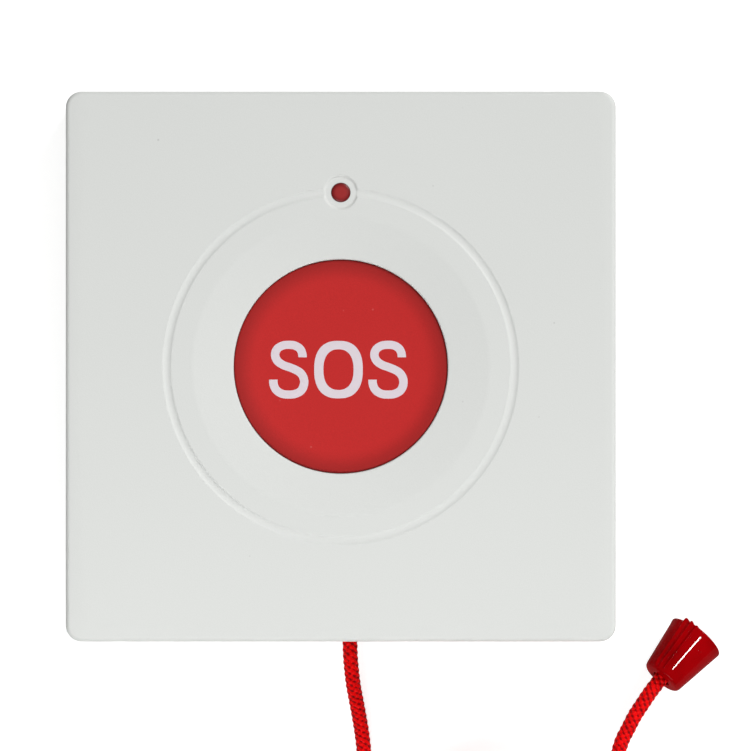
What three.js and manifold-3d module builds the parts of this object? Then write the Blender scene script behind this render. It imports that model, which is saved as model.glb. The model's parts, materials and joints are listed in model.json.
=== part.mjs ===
// Emergency pull cord alarm: a square wall plate with a large round call button,
// a status lamp on a ring groove, and a braided cord that works a slider inside.
// Millimetres. The part lies on its back: rear face at z = 0, +Z out of the front,
// +Y towards the top edge of the plate, origin at the centre of the rear face.
import * as THREE from 'three';
import { mergeVertices } from 'three/addons/utils/BufferGeometryUtils.js';
import Module from 'manifold-3d';

const wasm = await Module();
wasm.setup();

// General clearances
const CLEAR = 0.3;
const SEAT = 0.1;

// Front cover
const PLATE_SIZE = 86;
const PLATE_CORNER_R = 2.5;
const BODY_DEPTH = 20;
const COVER_WALL = 2;
const COVER_FRONT = 2;
const EDGE_ROUND = 0.7;
const COVER_LIFT = 0.3;
const APERTURE_R = 16.75;
const DISH_R = 23.2;
const DISH_DEPTH = 0.65;
const COLLAR_WALL = 1.8;
const COLLAR_DEPTH = 5.5;
const GROOVE_R = 27.2;
const GROOVE_W = 1.25;
const GROOVE_DEPTH = 0.28;
const POCKET_R = 2.65;
const SNAP_LENGTH = 8;
const SNAP_HEIGHT = 0.8;
const SNAP_BITE = 0.5;
const SNAP_Z = 3.0;
const SNAP_X = 24;

// Rear base
const FLOOR_T = 2;
const RIM_T = 1.4;
const RIM_TOP = 4.2;
const BOSS_R = 2.6;
const WALL_SCREW_PITCH = 60.3;
const WALL_SLOT_W = 4;
const WALL_SLOT_L = 8;

// Circuit board
const BOARD_Z = 9;
const BOARD_T = 1.6;
const BOARD_HALF_W = 25;
const BOARD_BEYOND_LAMP = 4;
const BOARD_NOTCH_GAP = 1.5;
const BOARD_RIM_GAP = 1.3;
const SCREW_INSET = 3.5;

// Small screws
const SCREW_SHANK_R = 0.9;
const SCREW_HEAD_R = 1.8;
const SCREW_HEAD_H = 1.2;
const SCREW_LENGTH = 6;
const RECESS_W = 0.5;
const RECESS_L = 2;
const RECESS_DEPTH = 0.6;

// Call button
const BUTTON_GAP = 0.25;
const BUTTON_RECESS = 0.35;
const BUTTON_FACE_T = 2;
const BUTTON_HOLLOW = 0.5;
const BUTTON_EDGE_ROUND = 0.4;
const BUTTON_WALL = 1.6;
const BUTTON_FLANGE_W = 1.7;
const BUTTON_FLANGE_T = 1.2;
const BUTTON_TRAVEL = 1.2;
const STEM_R = 2.2;
const SPRING_CUP_WALL = 0.8;
const SPRING_CUP_H = 1.4;
const BUTTON_SPRING_R = 6;
const BUTTON_SPRING_WIRE_R = 0.35;
const BUTTON_SPRING_TURNS = 3.5;

// Button switch
const TACT_SIZE = 6;
const TACT_H = 3.6;
const TACT_PLUNGER_R = 1.7;
const TACT_PLUNGER_RISE = 1.4;
const TACT_PLUNGER_HIDDEN = 0.9;

// Status lamp
const LED_R = 1.45;
const LED_PROUD = 0;
const LED_LENGTH = 6;
const LED_FLANGE_R = 1.9;
const LED_FLANGE_T = 0.9;
const LED_HOLE_CLEAR = 0.2;
const LED_GUIDE_WALL = 1.2;
const LED_LEAD = 0.5;
const LED_LEAD_PITCH = 2.54;
const LED_SPACER_WALL = 0.4;

// Radio parts on the board
const CHIP_SIZE = 5;
const CHIP_H = 0.9;
const CHIP_X = -9;
const CHIP_Y = 22;
const CRYSTAL_L = 5;
const CRYSTAL_W = 3.2;
const CRYSTAL_H = 1.3;
const CRYSTAL_X = -20;
const CRYSTAL_Y = 14;
const CAPACITOR_R = 2.5;
const CAPACITOR_H = 5.4;
const CAPACITOR_INSET = 3.7;
const CAPACITOR_Y = 9;
const AERIAL_R = 2;
const AERIAL_WIRE_R = 0.4;
const AERIAL_TURNS = 6;
const AERIAL_PITCH = 1.5;
const AERIAL_X = 11.5;
const AERIAL_Y = 21.8;

// Battery, a 12 V cell of 10.3 by 28.5 mm lying along Y beside the board
const BATTERY_R = 5.15;
const BATTERY_L = 28.5;
const BATTERY_NUB_R = 2;
const BATTERY_NUB_H = 1.1;
const BATTERY_EDGE = 0.5;
const BATTERY_SEAT_T = 0.5;
const BATTERY_SPRING_L = 3;
const BATTERY_SPRING_R = 3.6;
const BATTERY_SPRING_TIP_R = 1.8;
const BATTERY_SPRING_WIRE_R = 0.35;
const BATTERY_SPRING_TURNS = 3;
const CONTACT_T = 0.5;
const CONTACT_W = 6.6;
const CONTACT_TAB = 3;
const CONTACT_TAB_OVER = 1.4;
const SADDLE_T = 1.5;
const SADDLE_H = 2.6;
const SADDLE_SPREAD = 9;
const CELL_WALL_T = 1.5;
const CELL_RIM_GAP = 1.2;

// Pull cord and its mechanism
const CORD_R = 1.15;
const CORD_CLEAR = 0.35;
const CORD_X = 1.4;
const CORD_Z = 6.2;
const KNOT_R = 2.5;
const KNOT_HALF_L = 1.55;
const PULL_TRAVEL = 4;
const SLIDER_HALF_W = 4.5;
const SLIDER_LENGTH = 14;
const SLIDER_H = 7.3;
const SLIDER_END_WALL = 1;
const RAIL_T = 1.2;
const RAIL_H = 1.8;
const CHANNEL_WALL_T = 1.4;
const CHANNEL_END_GAP = 1.2;
const KEEPER_T = 1.5;
const KEEPER_W = 17;
const KEEPER_LENGTH = 12;
const KEEPER_UP = 6;
const KEEPER_SCREW_PITCH = 7;
const PULL_SPRING_R = 2.4;
const PULL_SPRING_WIRE_R = 0.3;
const PULL_SPRING_TURNS = 4.5;
const PULL_SPRING_SPACE = 7.2;
const BUSH_WALL = 0.9;
const BUSH_FLANGE_W = 1;
const BUSH_FLANGE_T = 1;
const BUSH_INSET = 0.4;

// Pull switch, a small lever switch under the board's tongue
const PS_LENGTH = 12.8;
const PS_DEPTH = 6.5;
const PS_WIDTH = 5.8;
const LEVER_LENGTH = 9.1;
const LEVER_REST_DEG = 12.05;
const LEVER_SWING_DEG = 9.5;
const LEVER_T = 0.4;
const LEVER_W = 3.4;
const LEVER_TIP_R = 0.4;
const LEVER_HUB_R = 0.8;
const LEVER_TRUNNION_R = 0.5;
const LEVER_PIVOT_IN = 1.4;
const LEVER_TIP_UP = 4;
const LUG_T = 0.9;
const PS_PLUNGER_R = 0.55;
const PS_PLUNGER_FROM_PIVOT = 3;
const PS_PLUNGER_HIDDEN = 1.7;
const PS_PLUNGER_GAP = 0.25;

// Cord coil and pull knob
const COIL_TURNS_WIDE = 4;
const COIL_TURNS_HIGH = 4;
const COIL_MID_R = 13.8;
const COIL_X = 22.6;
const COIL_Y = -82;
const KNOB_LENGTH = 9.2;
const KNOB_NARROW_R = 3.3;
const KNOB_WIDE_R = 4.65;
const KNOB_EDGE_R = 0.9;
const KNOB_HEADING_DEG = 49;
const KNOB_TILT_DEG = 15;
const KNOB_X = 50.5;
const KNOB_Y = -49.3;
const KNOB_CAVITY_DEPTH = 4.2;
const KNOB_RIB_R = 0.3;
const KNOB_RIB_STEP_DEG = 14;
const KNOB_RIB_START_DEG = 137;

// Cord centre lines outside the body, chosen by hand
const FEED_ROUTE = [
  [1.45, -45.5, 6.0], [1.65, -48.0, 5.3], [1.95, -50.5, 4.3], [2.4, -53.0, 3.2],
  [2.85, -55.5, 2.3], [3.25, -58.0, 1.6], [3.55, -60.5, 1.25], [3.75, -63.5, 1.2],
  [3.85, -66.5, 1.2], [3.85, -69.5, 1.2], [3.75, -72.5, 1.2], [3.6, -75.3, 1.2],
];
const TAIL_ROUTE = [
  [41.5, -76.0, 7.9], [41.6, -73.0, 7.6], [41.9, -70.0, 7.3], [42.3, -67.0, 7.1],
  [42.9, -64.0, 7.0], [43.7, -61.3, 7.05], [44.4, -59.0, 7.2], [45.4, -57.0, 7.4],
  [46.2, -55.4, 7.55], [47.6, -53.2, 7.65], [48.9, -51.3, 7.45],
];

// Levels that follow from the sizes above
const coverInner = PLATE_SIZE / 2 - COVER_WALL;
const baseHalf = coverInner - CLEAR;
const frontInnerZ = BODY_DEPTH - COVER_FRONT;
const boardTopZ = BOARD_Z + BOARD_T;
const partsZ = boardTopZ + SEAT;
const buttonR = APERTURE_R - BUTTON_GAP;
const buttonTopZ = BODY_DEPTH - DISH_DEPTH - BUTTON_RECESS;
const buttonUnderZ = buttonTopZ - BUTTON_FACE_T;
const collarLowZ = BODY_DEPTH - COLLAR_DEPTH;
const flangeTopZ = collarLowZ - CLEAR;
const flangeLowZ = flangeTopZ - BUTTON_FLANGE_T;
const tactTopZ = partsZ + TACT_H;
const plungerTopZ = tactTopZ + TACT_PLUNGER_RISE;
const ledY = GROOVE_R;
const ledTopZ = BODY_DEPTH + LED_PROUD;
const ledLowZ = ledTopZ - LED_LENGTH;
const batteryX = baseHalf - CLEAR - BATTERY_R;
const batteryZ = FLOOR_T + BATTERY_SEAT_T + BATTERY_R;
const minusY = -baseHalf + RIM_T + CELL_RIM_GAP + SEAT;
const batteryLowY = minusY + CONTACT_T + BATTERY_SPRING_L + 2 * SEAT;
const batteryY = batteryLowY + BATTERY_L / 2;
const plusY = batteryLowY + BATTERY_L + SEAT;
const boreR = CORD_R + CORD_CLEAR;
const pocketR = KNOT_R + 0.4;
const bushR = boreR + BUSH_WALL;
const bushOuterY = -PLATE_SIZE / 2 + BUSH_INSET;
const bushWallInY = -baseHalf + RIM_T;
const bushInnerY = bushWallInY + SEAT + BUSH_FLANGE_T;
const sliderLowY = bushInnerY + PULL_SPRING_SPACE;
const sliderTopY = sliderLowY + SLIDER_LENGTH;
const channelLowY = bushInnerY + CHANNEL_END_GAP;
const keeperY = sliderLowY + KEEPER_UP;
const pocketTopY = sliderTopY - SLIDER_END_WALL;
const pocketLowY = pocketTopY - 2 * KNOT_HALF_L - 2 * CLEAR;
const knotY = (pocketTopY + pocketLowY) / 2;
const sliderLowZ = FLOOR_T + CLEAR;
const sliderTopZ = sliderLowZ + SLIDER_H;
const sliderLeftX = CORD_X - SLIDER_HALF_W;
const sliderRightX = CORD_X + SLIDER_HALF_W;
const keeperZ = sliderTopZ + CLEAR;
const railTopZ = FLOOR_T + RAIL_H;
const leverZ = BOARD_Z - SEAT - PS_WIDTH / 2;
const camLowZ = railTopZ + CLEAR;
const tipX = sliderLeftX - CLEAR - LEVER_TIP_R;
const pivotX = tipX - LEVER_LENGTH * Math.sin(rad(LEVER_REST_DEG));
const psFaceX = pivotX - LEVER_HUB_R;
const tipY = sliderLowY + LEVER_TIP_UP;
const pivotY = tipY - LEVER_LENGTH * Math.cos(rad(LEVER_REST_DEG));
const psLowY = pivotY - LEVER_PIVOT_IN;
const psPlungerY = pivotY + PS_PLUNGER_FROM_PIVOT;
const camPeakX = pivotX + LEVER_LENGTH * Math.sin(rad(LEVER_REST_DEG - LEVER_SWING_DEG)) + LEVER_TIP_R + CLEAR;
const tongueX = camPeakX - 0.4;
const boardTopY = ledY + BOARD_BEYOND_LAMP;
const boardNotchY = sliderTopY + BOARD_NOTCH_GAP;
const boardLowY = -baseHalf + RIM_T + BOARD_RIM_GAP;
const keeperScrewX = sliderRightX + CLEAR + CHANNEL_WALL_T + BOSS_R - 0.4;
const keeperRightX = keeperScrewX + BOSS_R + 0.4;
const rightTongueX = keeperRightX + 0.4;
const coilHalf = COIL_TURNS_WIDE * CORD_R;
const coilHigh = COIL_TURNS_HIGH * 2 * CORD_R;

function rad(deg) {
  return (deg * Math.PI) / 180;
}

// Solids and their booleans

function solid(geometry) {
  const bare = geometry.index ? geometry.toNonIndexed() : geometry.clone();
  bare.deleteAttribute('normal');
  bare.deleteAttribute('uv');
  const merged = mergeVertices(bare, 1e-4);
  return new wasm.Manifold(
    new wasm.Mesh({
      numProp: 3,
      vertProperties: new Float32Array(merged.attributes.position.array),
      triVerts: new Uint32Array(merged.index.array),
    }),
  );
}

function geometryOf(manifold) {
  const mesh = manifold.getMesh();
  const geometry = new THREE.BufferGeometry();
  geometry.setAttribute('position', new THREE.BufferAttribute(new Float32Array(mesh.vertProperties), 3));
  geometry.setIndex(new THREE.BufferAttribute(new Uint32Array(mesh.triVerts), 1));
  geometry.computeVertexNormals();
  return geometry;
}

function join(...geometries) {
  let whole = solid(geometries[0]);
  for (const geometry of geometries.slice(1)) {
    whole = whole.add(solid(geometry));
  }
  return geometryOf(whole);
}

function cut(geometry, ...tools) {
  let whole = solid(geometry);
  for (const tool of tools) {
    whole = whole.subtract(solid(tool));
  }
  return geometryOf(whole);
}

function outward(geometry) {
  const flat = geometry.index ? geometry.toNonIndexed() : geometry;
  const p = flat.attributes.position;
  const a = new THREE.Vector3();
  const b = new THREE.Vector3();
  const c = new THREE.Vector3();
  let volume = 0;
  for (let i = 0; i < p.count; i += 3) {
    a.fromBufferAttribute(p, i);
    b.fromBufferAttribute(p, i + 1);
    c.fromBufferAttribute(p, i + 2);
    volume += a.dot(b.cross(c));
  }
  if (volume < 0) {
    for (let i = 0; i < p.count; i += 3) {
      a.fromBufferAttribute(p, i + 1);
      b.fromBufferAttribute(p, i + 2);
      p.setXYZ(i + 1, b.x, b.y, b.z);
      p.setXYZ(i + 2, a.x, a.y, a.z);
    }
  }
  flat.deleteAttribute('normal');
  flat.deleteAttribute('uv');
  const merged = mergeVertices(flat, 1e-4);
  merged.computeVertexNormals();
  return merged;
}

// Simple shapes, each placed by its limits

function box(x0, x1, y0, y1, z0, z1) {
  const geometry = new THREE.BoxGeometry(x1 - x0, y1 - y0, z1 - z0);
  return geometry.translate((x0 + x1) / 2, (y0 + y1) / 2, (z0 + z1) / 2);
}

function rod(r, z0, z1, x = 0, y = 0, sides = 24) {
  const geometry = new THREE.CylinderGeometry(r, r, z1 - z0, sides);
  return geometry.rotateX(Math.PI / 2).translate(x, y, (z0 + z1) / 2);
}

function rodAlongY(r, y0, y1, x, z, sides = 24) {
  const geometry = new THREE.CylinderGeometry(r, r, y1 - y0, sides);
  return geometry.translate(x, (y0 + y1) / 2, z);
}

function rodAlongX(r, x0, x1, y, z, sides = 24) {
  const geometry = new THREE.CylinderGeometry(r, r, x1 - x0, sides);
  return geometry.rotateZ(Math.PI / 2).translate((x0 + x1) / 2, y, z);
}

function turned(profile, sides = 48) {
  const points = profile.map(([r, z]) => new THREE.Vector2(r, z));
  return outward(new THREE.LatheGeometry(points, sides).rotateX(Math.PI / 2));
}

function ringOf(rIn, rOut, z0, z1, sides = 48) {
  return turned([[rIn, z0], [rOut, z0], [rOut, z1], [rIn, z1], [rIn, z0]], sides);
}

function roundedSquare(half, r) {
  const shape = new THREE.Shape();
  shape.moveTo(half - r, -half);
  shape.absarc(half - r, -half + r, r, -Math.PI / 2, 0);
  shape.absarc(half - r, half - r, r, 0, Math.PI / 2);
  shape.absarc(-half + r, half - r, r, Math.PI / 2, Math.PI);
  shape.absarc(-half + r, -half + r, r, Math.PI, Math.PI * 1.5);
  return shape;
}

function slab(shape, z0, z1, options = {}) {
  const geometry = new THREE.ExtrudeGeometry(shape, { depth: z1 - z0, bevelEnabled: false, curveSegments: 4, ...options });
  return geometry.translate(0, 0, z0);
}

class Helix extends THREE.Curve {
  constructor(r0, r1, turns, length) {
    super();
    Object.assign(this, { r0, r1, turns, length });
  }

  getPoint(t, target = new THREE.Vector3()) {
    const angle = t * this.turns * 2 * Math.PI;
    const r = this.r0 + (this.r1 - this.r0) * t;
    return target.set(r * Math.cos(angle), r * Math.sin(angle), t * this.length);
  }
}

function tube(curve, r, sides, steps) {
  const section = new THREE.Shape();
  for (let i = 0; i < sides; i += 1) {
    const angle = (i / sides) * 2 * Math.PI;
    section[i === 0 ? 'moveTo' : 'lineTo'](r * Math.cos(angle), r * Math.sin(angle));
  }
  section.closePath();
  return outward(new THREE.ExtrudeGeometry(section, { steps, extrudePath: curve, bevelEnabled: false }));
}

function coilSpring(rMean, wireR, turns, length, rEnd = rMean) {
  const path = new Helix(rMean, rEnd, turns, length - 2 * wireR);
  return tube(path, wireR, 6, Math.round(turns * 12)).translate(0, 0, wireR);
}

function cordTube(points) {
  const path = new THREE.CatmullRomCurve3(points.map((p) => new THREE.Vector3(...p)), false, 'centripetal');
  return tube(path, CORD_R, 8, Math.round(path.getLength() / (4 * CORD_R)));
}

// Pieces of the housing

function frontCover() {
  const inset = PLATE_SIZE / 2 - EDGE_ROUND;
  const shell = slab(roundedSquare(inset, PLATE_CORNER_R - EDGE_ROUND), -3, BODY_DEPTH - EDGE_ROUND, {
    bevelEnabled: true,
    bevelThickness: EDGE_ROUND,
    bevelSize: EDGE_ROUND,
    bevelSegments: 3,
  });
  const hollow = slab(roundedSquare(coverInner, 0.8), -5, frontInnerZ);
  const behind = box(-PLATE_SIZE, PLATE_SIZE, -PLATE_SIZE, PLATE_SIZE, -9, COVER_LIFT);
  const collar = rod(APERTURE_R + COLLAR_WALL, collarLowZ, frontInnerZ + 0.2, 0, 0, 64);
  const guideLowZ = ledLowZ + LED_FLANGE_T + CLEAR;
  const guide = rod(LED_R + LED_HOLE_CLEAR + LED_GUIDE_WALL, guideLowZ, frontInnerZ + 0.2, 0, ledY, 20);
  const ribs = [];
  for (const side of [-1, 1]) {
    for (const x of [-SNAP_X, SNAP_X]) {
      const y0 = side > 0 ? coverInner - CLEAR - SNAP_BITE : -coverInner - 0.2;
      const y1 = side > 0 ? coverInner + 0.2 : -coverInner + CLEAR + SNAP_BITE;
      ribs.push(box(x - SNAP_LENGTH / 2, x + SNAP_LENGTH / 2, y0, y1, SNAP_Z - SNAP_HEIGHT / 2, SNAP_Z + SNAP_HEIGHT / 2));
    }
  }
  const aperture = rod(APERTURE_R, collarLowZ - 1, BODY_DEPTH + 1, 0, 0, 64);
  const dishSlope = DISH_DEPTH / (DISH_R - APERTURE_R);
  const dish = turned([
    [0, BODY_DEPTH - DISH_DEPTH - dishSlope * APERTURE_R],
    [DISH_R + 1, BODY_DEPTH + dishSlope],
    [0, BODY_DEPTH + dishSlope],
  ], 64);
  const groove = turned([
    [GROOVE_R - GROOVE_W / 2, BODY_DEPTH + 0.2],
    [GROOVE_R - GROOVE_W / 2, BODY_DEPTH],
    [GROOVE_R - GROOVE_W / 4, BODY_DEPTH - GROOVE_DEPTH],
    [GROOVE_R + GROOVE_W / 4, BODY_DEPTH - GROOVE_DEPTH],
    [GROOVE_R + GROOVE_W / 2, BODY_DEPTH],
    [GROOVE_R + GROOVE_W / 2, BODY_DEPTH + 0.2],
    [GROOVE_R - GROOVE_W / 2, BODY_DEPTH + 0.2],
  ], 64);
  const pocket = rod(POCKET_R, BODY_DEPTH - GROOVE_DEPTH, BODY_DEPTH + 1, 0, ledY, 24);
  const ledHole = rod(LED_R + LED_HOLE_CLEAR, guideLowZ - 1, BODY_DEPTH + 1, 0, ledY, 20);
  const notchR = bushR + CLEAR;
  const notchRound = rodAlongY(notchR, -PLATE_SIZE / 2 - 1, -coverInner + 1, CORD_X, CORD_Z, 20);
  const notchOpen = box(CORD_X - notchR, CORD_X + notchR, -PLATE_SIZE / 2 - 1, -coverInner + 1, -1, CORD_Z);
  const walls = join(cut(shell, hollow, behind), collar, guide, ...ribs);
  return cut(walls, aperture, dish, groove, pocket, ledHole, notchRound, notchOpen);
}

function boardHoles() {
  const x = BOARD_HALF_W - SCREW_INSET;
  return [
    [-x, boardTopY - SCREW_INSET],
    [x, boardTopY - SCREW_INSET],
    [x, boardLowY + SCREW_INSET],
    [-x, boardLowY + SCREW_INSET],
  ];
}

function keeperHoles() {
  return [[keeperScrewX, keeperY + KEEPER_SCREW_PITCH / 2], [keeperScrewX, keeperY - KEEPER_SCREW_PITCH / 2]];
}

function contactWall(y0, y1) {
  return box(batteryX - CONTACT_W / 2 - 0.6, baseHalf - 0.2, y0, y1, FLOOR_T - 0.5, boardTopZ - SEAT);
}

function rearBase() {
  const half = baseHalf;
  const floor = slab(roundedSquare(half, 0.6), 0, FLOOR_T);
  const rim = cut(slab(roundedSquare(half, 0.6), FLOOR_T - 0.5, RIM_TOP), slab(roundedSquare(half - RIM_T, 0.3), 0, RIM_TOP + 1));
  const added = [rim];
  for (const [x, y] of boardHoles()) {
    added.push(rod(BOSS_R, FLOOR_T - 0.5, BOARD_Z - SEAT, x, y, 20));
  }
  for (const [x, y] of keeperHoles()) {
    added.push(rod(BOSS_R, FLOOR_T - 0.5, keeperZ - SEAT, x, y, 20));
  }
  for (const y of [batteryY - SADDLE_SPREAD, batteryY + SADDLE_SPREAD]) {
    const blank = box(batteryX - 4, batteryX + 3.8, y - SADDLE_T / 2, y + SADDLE_T / 2, FLOOR_T - 0.5, FLOOR_T + SADDLE_H);
    added.push(cut(blank, rodAlongY(BATTERY_R + SEAT, y - SADDLE_T, y + SADDLE_T, batteryX, batteryZ, 32)));
  }
  const plusBackY = plusY + CONTACT_T + SEAT;
  added.push(contactWall(plusBackY, plusBackY + CELL_WALL_T));
  added.push(contactWall(-half + 0.2, minusY - SEAT));
  const railX = sliderLeftX - CLEAR;
  added.push(box(railX - RAIL_T, railX, channelLowY, sliderTopY, FLOOR_T - 0.5, railTopZ));
  const wallX = sliderRightX + CLEAR;
  added.push(box(wallX, wallX + CHANNEL_WALL_T, channelLowY, sliderTopY, FLOOR_T - 0.5, sliderTopZ));
  const bushHold = bushR + CLEAR + 2.2;
  added.push(box(CORD_X - bushHold, CORD_X + bushHold, -half, bushWallInY, FLOOR_T - 0.5, CORD_Z + 3.4));
  const removed = [];
  for (const [x, y] of boardHoles()) {
    removed.push(rod(SCREW_SHANK_R + CLEAR, BOARD_Z - SCREW_LENGTH, BOARD_Z + 1, x, y, 16));
  }
  for (const [x, y] of keeperHoles()) {
    removed.push(rod(SCREW_SHANK_R + CLEAR, keeperZ - SCREW_LENGTH, keeperZ + 1, x, y, 16));
  }
  for (const side of [-1, 1]) {
    const x = (side * WALL_SCREW_PITCH) / 2;
    const straight = (WALL_SLOT_L - WALL_SLOT_W) / 2;
    removed.push(join(
      box(x - WALL_SLOT_W / 2, x + WALL_SLOT_W / 2, -straight, straight, -1, FLOOR_T + 1),
      rod(WALL_SLOT_W / 2, -1, FLOOR_T + 1, x, -straight, 20),
      rod(WALL_SLOT_W / 2, -1, FLOOR_T + 1, x, straight, 20),
    ));
    for (const snapX of [-SNAP_X, SNAP_X]) {
      const y0 = side > 0 ? half - RIM_T - 1 : -half - 1;
      const reach = SNAP_LENGTH / 2 + CLEAR;
      const high = SNAP_HEIGHT / 2 + CLEAR;
      removed.push(box(snapX - reach, snapX + reach, y0, y0 + RIM_T + 2, SNAP_Z - high, SNAP_Z + high));
    }
  }
  removed.push(rodAlongY(bushR + SEAT, -half - 1, bushWallInY + 1, CORD_X, CORD_Z, 20));
  removed.push(box(CORD_X - bushR - SEAT, CORD_X + bushR + SEAT, -half - 1, bushWallInY + 1, CORD_Z, CORD_Z + 9));
  return cut(join(floor, ...added), ...removed);
}

function screw() {
  const headTop = SCREW_HEAD_H + SEAT;
  const body = turned([
    [0, -SCREW_LENGTH + SEAT],
    [SCREW_SHANK_R * 0.5, -SCREW_LENGTH + SEAT],
    [SCREW_SHANK_R, -SCREW_LENGTH + SEAT + 0.8],
    [SCREW_SHANK_R, SEAT],
    [SCREW_HEAD_R, SEAT],
    [SCREW_HEAD_R, SEAT + SCREW_HEAD_H * 0.55],
    [SCREW_HEAD_R * 0.72, headTop],
    [0, headTop],
  ], 16);
  const slotLow = headTop - RECESS_DEPTH;
  return cut(
    body,
    box(-RECESS_L / 2, RECESS_L / 2, -RECESS_W / 2, RECESS_W / 2, slotLow, headTop + 1),
    box(-RECESS_W / 2, RECESS_W / 2, -RECESS_L / 2, RECESS_L / 2, slotLow, headTop + 1),
  );
}

function circuitBoard() {
  const shape = new THREE.Shape();
  shape.moveTo(-BOARD_HALF_W, boardLowY);
  shape.lineTo(tongueX, boardLowY);
  shape.lineTo(tongueX, boardNotchY);
  shape.lineTo(rightTongueX, boardNotchY);
  shape.lineTo(rightTongueX, boardLowY);
  shape.lineTo(BOARD_HALF_W, boardLowY);
  shape.lineTo(BOARD_HALF_W, boardTopY);
  shape.lineTo(-BOARD_HALF_W, boardTopY);
  shape.closePath();
  const holes = boardHoles().map(([x, y]) => rod(SCREW_SHANK_R + CLEAR, BOARD_Z - 1, boardTopZ + 1, x, y, 16));
  for (const side of [-1, 1]) {
    const r = (LED_LEAD / 2) * Math.SQRT2 + CLEAR;
    holes.push(rod(r, BOARD_Z - 1, boardTopZ + 1, (side * LED_LEAD_PITCH) / 2, ledY, 10));
  }
  return cut(slab(shape, BOARD_Z, boardTopZ), ...holes);
}

// Pieces of the call button

function buttonCap() {
  const inner = buttonR - BUTTON_WALL;
  const flangeR = buttonR + BUTTON_FLANGE_W;
  const cupIn = BUTTON_SPRING_R + BUTTON_SPRING_WIRE_R + CLEAR;
  const cupOut = cupIn + SPRING_CUP_WALL;
  const cupLowZ = buttonUnderZ - SPRING_CUP_H;
  const rounded = buttonR - BUTTON_EDGE_ROUND;
  return turned([
    [0, plungerTopZ + CLEAR],
    [STEM_R, plungerTopZ + CLEAR],
    [STEM_R, buttonUnderZ],
    [cupIn, buttonUnderZ],
    [cupIn, cupLowZ],
    [cupOut, cupLowZ],
    [cupOut, buttonUnderZ],
    [inner, buttonUnderZ],
    [inner, flangeLowZ],
    [flangeR, flangeLowZ],
    [flangeR, flangeTopZ],
    [buttonR, flangeTopZ],
    [buttonR, buttonTopZ - BUTTON_EDGE_ROUND],
    [rounded, buttonTopZ],
    [rounded * 0.8, buttonTopZ - BUTTON_HOLLOW * 0.36],
    [rounded * 0.5, buttonTopZ - BUTTON_HOLLOW * 0.75],
    [0, buttonTopZ - BUTTON_HOLLOW],
  ], 48);
}

function tactBody() {
  const half = TACT_SIZE / 2;
  const boreLowZ = tactTopZ - TACT_PLUNGER_HIDDEN - BUTTON_TRAVEL - CLEAR;
  return cut(
    box(-half, half, -half, half, partsZ, tactTopZ),
    rod(TACT_PLUNGER_R + 0.25, boreLowZ, tactTopZ + 1, 0, 0, 20),
  );
}

// Status lamp

function ledLens() {
  const domeZ = ledTopZ - LED_R;
  const profile = [
    [0, ledLowZ],
    [LED_FLANGE_R, ledLowZ],
    [LED_FLANGE_R, ledLowZ + LED_FLANGE_T],
    [LED_R, ledLowZ + LED_FLANGE_T],
    [LED_R, domeZ],
  ];
  for (const deg of [30, 60]) {
    profile.push([LED_R * Math.cos(rad(deg)), domeZ + LED_R * Math.sin(rad(deg))]);
  }
  profile.push([0, ledTopZ]);
  return turned(profile, 20).translate(0, ledY, 0);
}

function ledLead(side) {
  const x = (side * LED_LEAD_PITCH) / 2;
  const half = LED_LEAD / 2;
  return box(x - half, x + half, ledY - half, ledY + half, BOARD_Z - 0.6, ledLowZ - SEAT);
}

function ledSpacer() {
  const inner = LED_LEAD_PITCH / 2 + LED_LEAD / 2 + CLEAR;
  return ringOf(inner, inner + LED_SPACER_WALL, partsZ, ledLowZ - SEAT, 20).translate(0, ledY, 0);
}

// Battery and its contacts

function battery() {
  const shoulder = BATTERY_L - BATTERY_NUB_H;
  const cell = turned([
    [0, 0],
    [BATTERY_R - BATTERY_EDGE, 0],
    [BATTERY_R, BATTERY_EDGE],
    [BATTERY_R, shoulder - BATTERY_EDGE],
    [BATTERY_R - BATTERY_EDGE, shoulder],
    [BATTERY_NUB_R, shoulder],
    [BATTERY_NUB_R, BATTERY_L],
    [0, BATTERY_L],
  ], 32);
  return cell.rotateX(-Math.PI / 2).translate(batteryX, batteryLowY, batteryZ);
}

function contact(y0) {
  const z1 = partsZ + CONTACT_T;
  const edgeX = batteryX - CONTACT_W / 2;
  const plate = box(edgeX, batteryX + CONTACT_W / 2, y0, y0 + CONTACT_T, FLOOR_T + SEAT, z1);
  const tab = box(BOARD_HALF_W - CONTACT_TAB_OVER, edgeX + 0.4, y0, y0 + CONTACT_TAB, partsZ, z1);
  return join(plate, tab);
}

function batterySpring() {
  const spring = coilSpring(BATTERY_SPRING_R, BATTERY_SPRING_WIRE_R, BATTERY_SPRING_TURNS, BATTERY_SPRING_L, BATTERY_SPRING_TIP_R);
  return spring.rotateX(-Math.PI / 2).translate(batteryX, minusY + CONTACT_T + SEAT, batteryZ);
}

// Pull mechanism

function leverTip(pull) {
  const angle = rad(LEVER_REST_DEG - (LEVER_SWING_DEG * pull) / PULL_TRAVEL);
  return [pivotX + LEVER_LENGTH * Math.sin(angle), pivotY + LEVER_LENGTH * Math.cos(angle)];
}

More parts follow.
